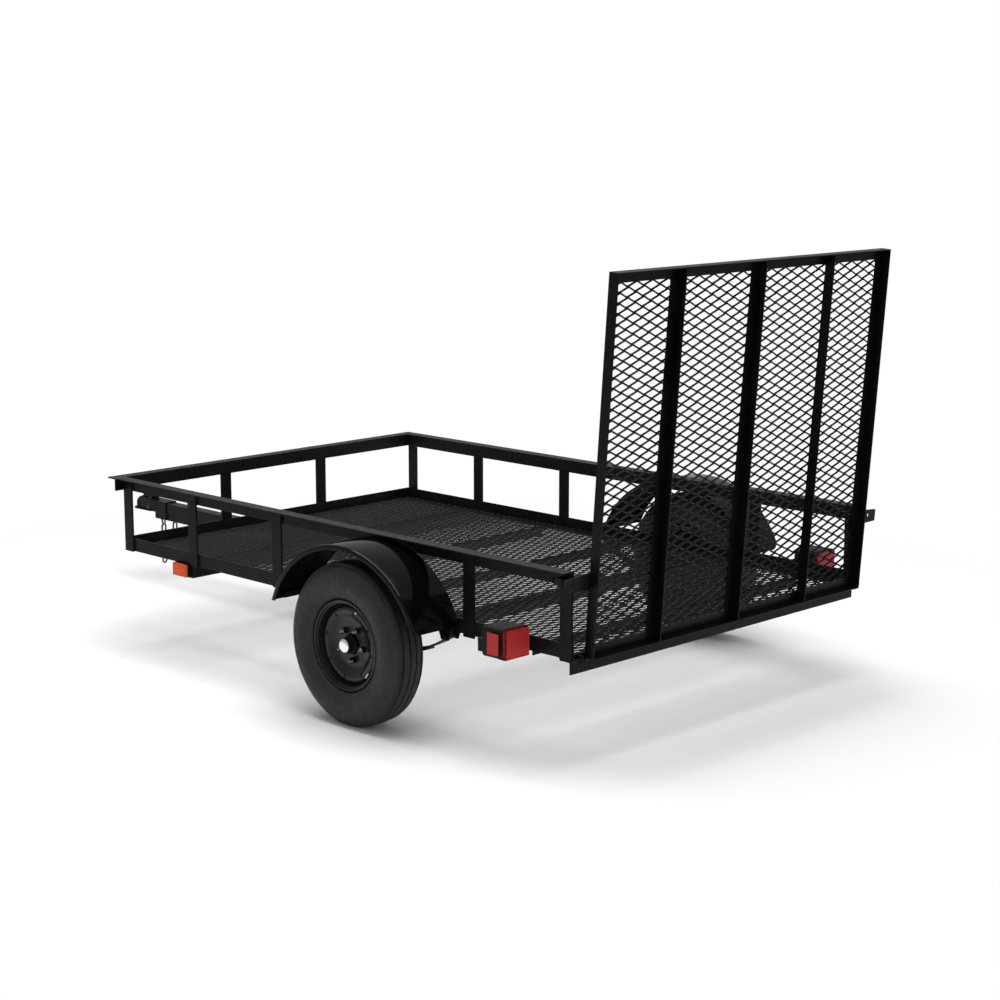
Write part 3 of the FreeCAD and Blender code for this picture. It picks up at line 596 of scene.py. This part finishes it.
def expanded_sheet(name, length, width, strand_half, twist, steel):
    """A sheet in the XY plane, its middle at the origin, with the diamonds' long way along Y."""
    sheet = begin("circle", name, vertices=4, radius=1.0, fill_type="NGON")
    bpy.ops.transform.resize(value=(SHORT_WAY / 2, LONG_WAY / 2, 1), center_override=(0, 0, 0))
    bpy.ops.mesh.inset(thickness=strand_half, depth=0)
    bpy.ops.mesh.delete(type="FACE")
    pick(sheet, "verts", lambda p, n: abs(p.y) < 0.001 and abs(p.x) < SHORT_WAY / 2 - 0.0005)
    bpy.ops.mesh.bevel(offset=BOND, affect="VERTICES", segments=1)
    for side in (1, -1):
        pick(sheet, "verts", lambda p, n: 0.3 * SHORT_WAY < side * p.x < SHORT_WAY / 2 - 0.0001)
        bpy.ops.transform.translate(value=(0, 0, -side * twist))
    bpy.ops.mesh.select_all(action="SELECT")
    bpy.ops.mesh.duplicate_move(TRANSFORM_OT_translate={"value": (SHORT_WAY / 2, LONG_WAY / 2, 0)})
    bpy.ops.object.mode_set(mode="OBJECT")
    rows, columns = int(length / SHORT_WAY) + 2, int(width / LONG_WAY) + 2
    for count, step in ((rows, (SHORT_WAY, 0, 0)), (columns, (0, LONG_WAY, 0))):
        modified(sheet, "ARRAY", count=count, use_relative_offset=False, use_constant_offset=True,
                 constant_offset_displace=step)
    laid(sheet, Matrix.Translation((-(rows - 0.5) * SHORT_WAY / 2, -(columns - 0.5) * LONG_WAY / 2, 0)))
    bpy.ops.object.mode_set(mode="EDIT")
    bpy.ops.mesh.select_mode(type="VERT")
    bpy.ops.mesh.select_all(action="SELECT")
    bpy.ops.mesh.remove_doubles(threshold=0.0001)
    for way, reach in (((1, 0, 0), length), ((-1, 0, 0), length),
                       ((0, 1, 0), width), ((0, -1, 0), width)):
        bpy.ops.mesh.select_all(action="SELECT")
        bpy.ops.mesh.bisect(plane_co=Vector(way) * reach / 2, plane_no=way, clear_outer=True)
    bpy.ops.object.mode_set(mode="OBJECT")
    modified(sheet, "SOLIDIFY", thickness=steel, offset=0.0)
    return sheet


# %% Deck
low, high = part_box("floor_mesh")
deck = expanded_sheet("deck_expanded_steel", high.x - low.x, high.y - low.y,
                      strand_half=0.0018, twist=0.0028, steel=0.0024)
laid(deck, Matrix.Translation((low + high) / 2))
dress(deck, "frame", mesh_paint, "mesh_paint", "floor_mesh")

# %% Gate sheet, stood up and leaned back with the gate
hinge = at(HINGE_X, 0, HINGE_Z)
leaned = Matrix.Translation(hinge) @ Matrix.Rotation(-GATE_LEAN, 4, "Y") @ Matrix.Translation(-hinge)
gate_low, gate_high, gate_half, gate_sheet_x = 388, 1616, 710.5, -7.75
gate_sheet = expanded_sheet("gate_expanded_steel", (gate_high - gate_low) / 1000, 2 * gate_half / 1000,
                            strand_half=0.0028, twist=0.0038, steel=0.0026)
laid(gate_sheet, leaned @ Matrix.Translation(at(gate_sheet_x, 0, (gate_low + gate_high) / 2))
     @ Matrix.Rotation(-math.pi / 2, 4, "Y") @ Matrix.Rotation(math.pi, 4, "Z"))
dress(gate_sheet, "gate", shaded_gate_paint, "mesh_paint", "gate_mesh")

# %% [markdown]
# ## Tyres
# A trailer tyre is a plain round-shouldered tube with a few straight grooves, because it only rolls
# and never steers. Turning it on the lathe gives all of that at once: the stations run from the bead,
# over the bulge of the wall, up the shoulder and across the tread, dipping into each groove. Small
# pockets are then set into the shoulders, where the tread's cross cuts end.

# %% Turn a tyre
TYRE_R, TYRE_SIDES = 290, 96
SIDE_STEP = 360 / TYRE_SIDES
GROOVES = (40.5, 13.5)            # the middles of the grooves, out from the tyre's middle
GROOVE_DEEP, GROOVE_TOP, GROOVE_FLOOR = 7, 2.8, 1.9
wall = [(149.6, 47), (158, 47), (163.5, 48.5), (165.5, 57.5), (168, 61.5), (170.5, 61), (174, 63),
        (186, 69.5), (200, 75.5), (213, 78.2), (228, 78.3), (241, 76), (246, 75.8), (249, 73.8),
        (259, 68.2), (268, 62), (276, 55.5), (282, 50), (285.2, 46)]
tread = []
for middle in GROOVES:
    crown = TYRE_R - 0.0022 * middle ** 2
    tread += [(crown, middle + GROOVE_TOP), (crown - GROOVE_DEEP, middle + GROOVE_FLOOR),
              (crown - GROOVE_DEEP, middle - GROOVE_FLOOR), (crown, middle - GROOVE_TOP)]
half = wall + tread
centre = at(AXLE_X, WHEEL_Y, AXLE_Z)
section = half + [(r, -y) for r, y in reversed(half)]
tyre = turned("tyre_with_tread_left", mm(section + [section[0]]), TYRE_SIDES, centre, solid=False)


def turn_of(p):
    """The angle of a point round the left wheel, in degrees from straight ahead."""
    return math.degrees(math.atan2(p.z - centre.z, p.x - centre.x))


def in_pocket(p):
    """True for every second face of the two shoulders."""
    return 0.043 < abs(p.y - centre.y) < 0.0535 and int(turn_of(p) / SIDE_STEP + TYRE_SIDES) % 2 == 0


pockets = pick(tyre, "faces", lambda p, n: in_pocket(p))
bpy.ops.mesh.inset(thickness=0.003, depth=-0.0025, use_individual=True)
close(tyre, 40)
dress_both(tyre, "wheel_left", tyre_rubber, "tyre", "tyre_left")
print("pockets in the shoulders:", pockets)

# %% [markdown]
# ## Pressed steel rims
# The rim is rolled from strip, with a curled lip that holds the bead of the tyre, and a pressed disc
# is welded inside it. The disc has a raised ring that makes it stiff, with eight vents on its slope.
# Both turn on one lathe, from the lip down to the bolt face and back behind. Each vent is drawn in
# from its faces and pushed in past the back of the disc, as a dark pocket.

# %% Turn a rim
VENTS, VENT_HALF, FIRST_VENT = 8, 3.75, 11.25      # the last two in degrees
lip = [(159.6, 54), (160, 56.6), (158.6, 58.2), (156, 58), (152.8, 56), (151.6, 47), (149.8, 45.4),
       (147.8, 47.5), (146.4, 47.5)]
disc_front = [(144.8, 38), (143.2, 26), (141, 22.5), (138.6, 24), (135.4, 31), (130, 36), (120.5, 37.4),
              (113, 35.4), (106.5, 31.8), (101, 28), (95, 24.6), (88, 21.4), (80, 19.6), (70, 19.3),
              (47, 19.3), (42, 21.4), (37.5, 21.2), (35, 18.5)]
disc_back = [(35, 15.7), (47, 15.7), (70, 15.7), (80, 16), (88, 17.8), (95, 21), (101, 24.4),
             (106.5, 28.2), (113, 31.8), (120.5, 33.8), (128, 32.6), (132.4, 28.6), (136, 21)]
barrel_in = [(140, 18), (138.5, 8), (137, -8), (137, -18), (143, -32), (145, -44), (147.6, -52.5),
             (151.8, -55.2), (156, -58), (158.6, -58.2), (160, -56.6)]
barrel_out = [(159.6, -54), (153, -51), (149, -49), (149, 49), (153, 51)]
face = lip + disc_front + disc_back + barrel_in + barrel_out
rim = turned("pressed_rim_left", mm(face + [face[0]]), TYRE_SIDES, centre, solid=False)
bpy.ops.mesh.select_all(action="SELECT")
bpy.ops.mesh.remove_doubles(threshold=0.00002)
bpy.ops.mesh.normals_make_consistent(inside=False)


def in_vent(p, vent):
    """True for a place on the front of the disc inside the vent of that number."""
    ring = math.hypot(p.x - centre.x, p.z - centre.z)
    off = (turn_of(p) - FIRST_VENT - 360 / VENTS * vent + 180) % 360 - 180
    return abs(off) < VENT_HALF and 0.105 < ring < 0.122 and p.y - centre.y > 0.014


cut = pick(rim, "faces", lambda p, n: n.y > 0.5 and any(in_vent(p, k) for k in range(VENTS)))
bpy.ops.mesh.inset(thickness=0.0015, depth=-0.0005)
bpy.ops.mesh.extrude_region_move(TRANSFORM_OT_translate={"value": (0, -0.014, 0)})
close(rim, 40)
dress_both(rim, "wheel_left", wheel_paint, "wheel_paint", "rim_left")
print("faces cut for vents:", cut)

# %% [markdown]
# ## Hubs, lug nuts and valves
# The hub fills the middle of the disc and ends in a bright grease cap. Five dark lug nuts with
# domed ends hold the disc on a circle of 114 mm. A nut starts as a six-sided cylinder with its top
# drawn in step by step to a dome, standing on a small cone. Such things are modelled once, pointing
# up at the origin, and copied.

# %% Hub with its grease cap
HUB_SIDES = 48
barrel = [(29, -58), (30, -57), (30, -8), (34, -6), (60, -1.5), (62, 0), (62, 15.4), (34, 15.4),
          (34.2, 31), (33.6, 33.5), (31.5, 35), (28, 36), (27, 38), (26.8, 53), (26, 57), (24.4, 59.2),
          (20, 59.4)]
hub = turned("hub_body_left", mm(barrel), HUB_SIDES, centre)
close(hub, 40)
dress_both(hub, "wheel_left", black_paint, "hub", "hub_left")
dome = [(20, 58), (24.2, 58.8), (24.4, 60), (22.6, 62), (18.5, 63.2), (12, 64), (5, 64.4)]
cap = turned("grease_cap_left", mm(dome), HUB_SIDES, centre)
close(cap, 40)
dress_both(cap, "wheel_left", chrome, "hub")

# %% Lug nuts
NUTS, NUT_CIRCLE, FIRST_NUT, BOLT_FACE = 5, 57.15, 47, 19.4
nut = begin("cylinder", "lug_nut_pattern", vertices=6, radius=0.0118, depth=0.013,
            location=(0, 0, 0.0085))
pick(nut, "faces", lambda p, n: n.z > 0.9)
for draw, rise in ((0.0012, 0.0014), (0.0012, 0.0034), (0.002, 0.0024), (0.003, 0.0012)):
    bpy.ops.mesh.inset(thickness=draw, depth=rise)
pick(nut, "faces", lambda p, n: n.z < -0.9)
bpy.ops.mesh.inset(thickness=0.0028, depth=0.002)
close(nut, 25)
spots = []
for k in range(NUTS):
    a = math.radians(FIRST_NUT + 360 / NUTS * k)
    spots.append((at(AXLE_X + NUT_CIRCLE * math.cos(a), WHEEL_Y + BOLT_FACE,
                     AXLE_Z + NUT_CIRCLE * math.sin(a)), "left"))
lugs = repeated(nut, "lug_nuts_left", spots)
dress_both(lugs, "wheel_left", dark_chrome, "hub")
away(nut)

# %% Valves and their caps
stem = [(7, 0), (7, 4), (4.2, 8), (3.6, 20), (3.4, 24), (4.4, 24.5), (4.4, 33), (3.4, 34.5)]
valve = turned("valve_left", mm(stem), 12, at(AXLE_X - 52, WHEEL_Y + 16, AXLE_Z + 122))
close(valve, 35)
dress_both(valve, "wheel_left", zinc, "zinc")

# %% Balance weights clipped to the lips
weight = begin("cube", "balance_weight_left", size=1,
               location=at(AXLE_X - 112, WHEEL_Y + 52, AXLE_Z - 86),
               scale=(0.024, 0.009, 0.006), rotation=(0, math.radians(52.5), 0))
bpy.ops.mesh.bevel(offset=0.0022, segments=2, affect="EDGES")
close(weight, 35)
dress_both(weight, "wheel_left", zinc, "zinc")

# %% [markdown]
# ## Fenders
# Each fender is a band of thin sheet bent to half an oval, glossier than the rails, with its outer
# edge folded down into a lip. A full ring is turned with the fold in its section, flattened to the
# oval, cut off level at its lower ends, and thickened. The rear corner is nipped round by three
# slanting cuts that act on the rear end only, while the front corner stays sharp. The hollow side
# has a duller coat than the outer side, and its darker colour is painted shade.

# %% Turn and cut a fender
FENDER_X, FENDER_Z = 888, 285     # the middle of the oval
HALF_LONG, HALF_HIGH = 391, 358   # and half its length and height
FENDER_IN, FENDER_OUT, FENDER_END, ROUND = 776.6, 984, 392, 40
fold = mm([(HALF_LONG, FENDER_IN), (HALF_LONG, FENDER_OUT - 7), (HALF_LONG - 0.8, FENDER_OUT - 3),
           (HALF_LONG - 3, FENDER_OUT - 0.6), (HALF_LONG - 6, FENDER_OUT), (HALF_LONG - 20, FENDER_OUT)])
middle = at(FENDER_X, 0, FENDER_Z)
fender = turned("fender_sheet_left", fold, 144, middle, solid=False)
bpy.ops.mesh.select_all(action="SELECT")
bpy.ops.transform.resize(value=(1, 1, HALF_HIGH / HALF_LONG), center_override=middle)
bpy.ops.mesh.bisect(plane_co=(0, 0, FENDER_END / 1000), plane_no=(0, 0, -1), clear_outer=True)
corner = at(FENDER_X, FENDER_OUT - ROUND, FENDER_END + ROUND)
for turn in (22.5, 45, 67.5):
    slant = Vector((0, math.cos(math.radians(turn)), -math.sin(math.radians(turn))))
    pick(fender, "faces", lambda p, n: p.x < corner.x - 0.2 and p.z < 0.47)
    bpy.ops.mesh.bisect(plane_co=corner + slant * 0.0395, plane_no=slant, clear_outer=True)
bpy.ops.mesh.select_all(action="SELECT")
bpy.ops.mesh.remove_doubles(threshold=0.00002)
bpy.ops.mesh.normals_make_consistent(inside=False)
bpy.ops.object.mode_set(mode="OBJECT")
modified(fender, "SOLIDIFY", thickness=0.0025, offset=-1.0)
only(fender)
bpy.ops.object.shade_smooth_by_angle(angle=math.radians(40))
low, high = fender.bound_box[0], fender.bound_box[6]
print("fender from", [round(c, 4) for c in low], "to", [round(c, 4) for c in high])


# %% Two coats for each fender, the inner one darker as painted shade
def faces_in(p, n):
    """True for a face that looks towards the line through the middle of the ovals."""
    return n.dot(Vector((middle.x - p.x, 0, middle.z - p.z)).normalized()) > 0.7


fender_right = other_side(fender, "fender_sheet_right")
for sheet, node in ((fender, "fender_left"), (fender_right, "fender_right")):
    dress(sheet, "frame", fender_paint, "black_paint", node)
    sheet.data.materials.append(shaded_inside_paint)
    only(sheet)
    bpy.ops.object.mode_set(mode="EDIT")
    pick(sheet, "faces", faces_in)
    sheet.active_material_index = 1
    bpy.ops.object.material_slot_assign()
    bpy.ops.object.mode_set(mode="OBJECT")

# %% [markdown]
# ## Tail lamps
# Each tail lamp is a black box with a domed red lens to the rear, held by two screws, and a flat red
# lens on its outer side that carries the side marker. The lens starts as a block, its corners are
# rounded, and its face is drawn in and out again: first a rim, then a groove, then the dome.

# %% Rear lenses
def lens_block(name, low, high, axis, corner):
    """An open block between two corners, the edges along one axis rounded."""
    low, high = Vector(low), Vector(high)
    piece = begin("cube", name, size=1, location=(low + high) / 2, scale=high - low)
    pick(piece, "edges", lambda p, w: abs(w[axis]) > 0.9)
    bpy.ops.mesh.bevel(offset=corner, segments=5, affect="EDGES")
    return piece


def stepped(steps):
    """Draws the selected face in and lifts it, step by step."""
    for draw, rise in steps:
        bpy.ops.mesh.inset(thickness=draw, depth=rise)


REAR_LOW, REAR_HIGH = (196, 782, 354), (204, 892, 454)     # opposite corners of the rear lens
rear_lens = lens_block("rear_lens", at(*REAR_LOW), at(*REAR_HIGH), 0, 0.012)
pick(rear_lens, "faces", lambda p, n: n.x < -0.9)
stepped(((0.0015, 0.0015), (0.004, 0.0), (0.001, -0.0015), (0.002, 0.0), (0.002, 0.0022),
         (0.006, 0.002), (0.01, 0.0013), (0.012, 0.0006)))
close(rear_lens, 30)

# %% Side lenses
SIDE_LOW, SIDE_HIGH = (209, 894.3, 371), (251, 899, 437)   # and of the side lens
side_lens = lens_block("side_lens", at(*SIDE_LOW), at(*SIDE_HIGH), 1, 0.005)
pick(side_lens, "faces", lambda p, n: n.y > 0.9)
stepped(((0.001, 0.001), (0.004, 0.0), (0.001, -0.001), (0.002, 0.0015), (0.004, 0.0012)))
close(side_lens, 30)
lenses = joined("tail_lenses_left", [rear_lens, side_lens])
dress_both(lenses, "frame", red_lens, "red_lens", "tail_lamp_lenses")

# %% Screws, and the black seal round each rear lens
pan_head = [(2.2, 0), (3.8, 0.1), (3.8, 0.9), (3.2, 1.7), (2.0, 2.1), (1.2, 2.1), (0.9, 1.0)]
screw = turned("screw_pattern", mm(pan_head), 12, (0, 0, 0), "Z")
close(screw, 35)
spots = [(at(198, 792, 364), "back"), (at(198, 882, 444), "back"),
         (at(230, 899.2, 430.5), "left"), (at(230, 899.2, 377.5), "left")]
screws = repeated(screw, "lamp_screws_left", spots)
dress_both(screws, "frame", chrome, "zinc")
away(screw)
seal = lens_block("lens_seal_left", at(201.5, 779, 351), at(204.8, 895, 457), 0, 0.014)
pick(seal, "faces", lambda p, n: n.x < -0.9)
stepped(((0.0016, 0.0012), (0.002, -0.0014)))
close(seal, 30)
dress_both(seal, "frame", lamp_black, "lamp_body")

# %% [markdown]
# ## Marker lamps
# The amber lamps under the front of the bed are plain rounded blocks of plastic on a black base. The
# face has a shallow frame and a raised middle.

# %% Marker lenses
low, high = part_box("marker_lamps")
marker = lens_block("marker_lens_left", (low.x, at(0, 781.3, 0).y, low.z),
                    (high.x, high.y - 0.002, high.z), 1, 0.005)
pick(marker, "faces", lambda p, n: n.y > 0.9)
stepped(((0.0022, 0.0022), (0.0045, 0.0), (0.001, -0.0012), (0.0018, 0.0), (0.003, 0.0016),
         (0.005, 0.0006)))
close(marker, 30)
dress_both(marker, "frame", amber_lens, "amber_lens", "marker_lamps")

# %% [markdown]
# ## Safety chains
# A welded link is one bar bent round into a loop with straight sides. A torus is that loop when it is
# round; moving its upper half up and its lower half down draws the sides straight. The links hang in
# line under the bolt through the tongue, each a quarter turn from the next.

# %% Links
LINKS, LINK_R, LINK_HALF, LINK_BOW = 6, 4.2, 22.0, 10.0
CHAIN_X, CHAIN_Y, BOLT_TOP = 3195, 30.9, 272.8 + 12 + 5.3
first_z = BOLT_TOP - (LINK_HALF - LINK_R)
link = begin("torus", "link_pattern", major_radius=LINK_BOW / 1000, minor_radius=LINK_R / 1000,
             major_segments=16, minor_segments=8, rotation=(math.pi / 2, 0, 0))
for side in (1, -1):
    pick(link, "verts", lambda p, n: side * p.z > 0.0003)
    bpy.ops.transform.translate(value=(0, 0, side * (LINK_HALF - LINK_BOW - LINK_R) / 1000))
close(link, 60)
crossed = laid(twin_of(link, "crossed_link_pattern"), Matrix.Rotation(math.pi / 2, 4, "Z"))
pitch = 2 * LINK_HALF - 2 * LINK_R - 0.4
runs = []
for first, pattern in ((0, link), (1, crossed)):
    spots = [(at(CHAIN_X, CHAIN_Y, first_z - i * pitch), "up") for i in range(first, LINKS, 2)]
    runs.append(repeated(pattern, "links_" + str(first), spots))
chain = joined("safety_chain_left", runs)
dress_both(chain, "frame", dark_chrome, "zinc", "safety_chains")
away(link)
away(crossed)

# %% [markdown]
# ## Bolts and nuts
# A bolt head is a six-sided block with its corners chamfered on top, over a round washer. One pattern
# in each size serves the whole trailer: at the spring eyes, on the four bolts that clamp each spring
# to the axle, through the tongue for the jack and the coupler, and behind the tail lamps.

# %% Bolt patterns
def bolt_head(name, across, height):
    """A six-sided head on a washer, pointing up from the origin, in millimetres."""
    head = begin("cylinder", name, vertices=6, radius=across / 2000 / math.cos(math.pi / 6),
                 depth=height / 1000, location=(0, 0, height / 2000 + 0.0016))
    pick(head, "faces", lambda p, n: n.z > 0.9)
    bpy.ops.mesh.inset(thickness=across / 16000, depth=across / 24000)
    close(head, 25)
    rings = [(across * 0.5, 0), (across * 0.68, 0.05), (across * 0.7, 1.2), (across * 0.66, 1.6),
             (across * 0.5, 1.65)]
    washer = turned(name + "_washer", mm(rings), 20, (0, 0, 0), "Z")
    close(washer, 30)
    return joined(name, [head, washer])


large = bolt_head("large_bolt_pattern", 19, 8)
small = bolt_head("small_bolt_pattern", 13, 5.5)

# %% Bolts at the springs and the axle
SPRING_Y, SPRING_HALF, EYE_Z = 742.6, 290, 340
spots = []
for x in (AXLE_X - SPRING_HALF, AXLE_X + SPRING_HALF):
    spots += [(at(x, 768.3, EYE_Z), "left"), (at(x, 717.0, EYE_Z), "right")]
spring_bolts = repeated(large, "spring_bolts_left", spots)
dress_both(spring_bolts, "frame", black_paint, "black_paint")
spots = []
for sx in (1, -1):
    for sy in (1, -1):
        x, y = AXLE_X + sx * 31.4, SPRING_Y + sy * 25.05
        spots += [(at(x, y, 322.7), "up"), (at(x, y, 231.0), "down")]
clamp_nuts = repeated(small, "clamp_nuts_left", spots)
dress_both(clamp_nuts, "frame", zinc, "zinc")

# %% Bolts at the tongue, the coupler and the lamp brackets
JACK_X = 2110
spots = [(at(JACK_X + dx, 25.4, z), "left") for dx in (-19, 19) for z in (292, 330)]
jack_bolts = repeated(large, "jack_bolts", spots)
dress(jack_bolts, "frame", zinc, "zinc")
coupler_bolts = repeated(small, "coupler_bolts_left", [(at(3304, 29.6, 318), "left")])
dress_both(coupler_bolts, "frame", dark_chrome, "black_paint")
lamp_bolts = repeated(small, "lamp_bolts_left", [(at(311, y, 388), "front") for y in (820, 868)])
dress_both(lamp_bolts, "frame", zinc, "zinc")
away(large)
away(small)

# %% [markdown]
# ## Coupler latch
# On top of the coupler a stamped trigger lies behind a short spring tower, with a pin across. They
# are small, dark and close together in the picture. The tower is turned, and the
# trigger is a plate bent up at its end, made from a block by extruding its rear face three times.

# %% Latch
spring_tower = [(9, 0), (9, 6), (7.5, 7.5), (7.5, 15), (10.5, 16), (10.5, 19.5), (8.5, 21.5), (4, 22)]
tower = turned("latch_tower", mm(spring_tower), 20, at(3352, 0, 354), "Z")
close(tower, 35)
dress(tower, "frame", black_paint, "black_paint")
trigger = begin("cube", "latch_trigger", size=1, location=at(3316, 0, 369), scale=(0.03, 0.03, 0.004))
for dx, dz in ((-0.016, 0.007), (-0.014, 0.011), (-0.008, 0.0)):
    rear = min(v.co.x for v in bmesh.from_edit_mesh(trigger.data).verts)
    pick(trigger, "faces", lambda p, n: n.x < -0.6 and p.x < rear + 0.004)
    bpy.ops.mesh.extrude_region_move(TRANSFORM_OT_translate={"value": (dx, 0, dz)})
bpy.ops.mesh.select_all(action="SELECT")
bpy.ops.mesh.bevel(offset=0.0012, segments=2, affect="EDGES")
close(trigger, 35)
dress(trigger, "frame", black_paint, "black_paint")
half_pin = [(3, -25), (4.8, -24.5), (4.8, -21.5), (3, -21)]
cross_pin = half_pin + [(r, -a) for r, a in reversed(half_pin)]
pin = turned("latch_cross_pin", mm(cross_pin), 16, at(3300, 0, 361), "Y")
close(pin, 35)
dress(pin, "frame", dark_chrome, "zinc")

# %% [markdown]
# ## Jack grip
# The jack's crank ends in a grip of ribbed black rubber. It is turned with a ripple, and stands
# just proud of the round bar under it.

# %% Grip
RIBS, RIB_PITCH, GRIP_R, RIB_R = 7, 7.5, 10.2, 11.2
ripple = [(GRIP_R, 2)]
for i in range(RIBS):
    along = i * RIB_PITCH
    ripple += [(RIB_R, 5 + along), (RIB_R, 9 + along), (GRIP_R, 10.5 + along)]
low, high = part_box("jack_crank")
grip_end = ((low.x + high.x) / 2, low.y - 0.001, low.z + 0.009)
grip = turned("jack_grip", mm(ripple), 20, grip_end, "Y")
close(grip, 30)
dress(grip, "frame", tyre_rubber, "tyre")

# %% [markdown]
# ## Weld beads
# Everything on this frame is welded, and the beads show at the feet and heads of the posts, where the
# uprights of the gate end, and where the tongue meets the bed. A bead is a row of small overlapping
# puddles. The lathe makes one with a ripple every five millimetres, and the others are copies of it.

# %% One bead
PUDDLE = 5                        # from one puddle to the next


def bead(name, length):
    """A rippled bead of that length, pointing up from the origin, in millimetres."""
    stations = [(0.6, 0), (2.2, 0.8)]
    for i in range(int(length / PUDDLE)):
        stations += [(3.1, 2.5 + i * PUDDLE), (2.5, 4.6 + i * PUDDLE)]
    piece = turned(name, mm(stations + [(0.8, length + 1)]), 6, (0, 0, 0), "Z")
    return close(piece, 50)


long_bead, short_bead = bead("long_bead_pattern", 40), bead("short_bead_pattern", 25)

# %% Beads on the posts and the tongue
POST_FRONTS = (2433.2, 2016.0, 1506.0, 497.0, 51.0)
FOOT_Z, HEAD_Z = 370, 612
spots = []
for front in POST_FRONTS:
    for x in (front + 0.3, front - 51.1):
        for z in (FOOT_Z, HEAD_Z):
            spots.append((at(x, 768.6, z), "up"))
post_welds = repeated(long_bead, "post_welds_left", spots)
dress_both(post_welds, "frame", black_paint, "black_paint")
spots = []
for middle_y in (258, -258):
    for y in (middle_y - 25.7, middle_y + 25.7):
        for z in (FOOT_Z, HEAD_Z):
            spots.append((at(2438.6, y, z), "up"))
spots += [(at(2009.4, side * 25.9, 277), "up") for side in (1, -1)]
front_welds = repeated(long_bead, "front_welds", spots)
dress(front_welds, "frame", black_paint, "black_paint")

# %% Beads on the gate
GATE_UPRIGHTS = (413, 0, -413)
spots = []
for y in GATE_UPRIGHTS:
    for side in (1, -1):
        for z in (378, 1586):
            spots.append((at(-12.4, y + side * 19.4, z), "up"))
gate_welds = repeated(short_bead, "gate_welds", spots, leaned)
dress(gate_welds, "gate", black_paint, "black_paint")
away(long_bead)
away(short_bead)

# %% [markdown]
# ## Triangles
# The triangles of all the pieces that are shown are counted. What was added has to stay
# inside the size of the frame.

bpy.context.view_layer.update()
meshes = [o.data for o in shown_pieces() if o.type == "MESH"]
print("triangles in all:", sum(len(p.vertices) - 2 for m in meshes for p in m.polygons))
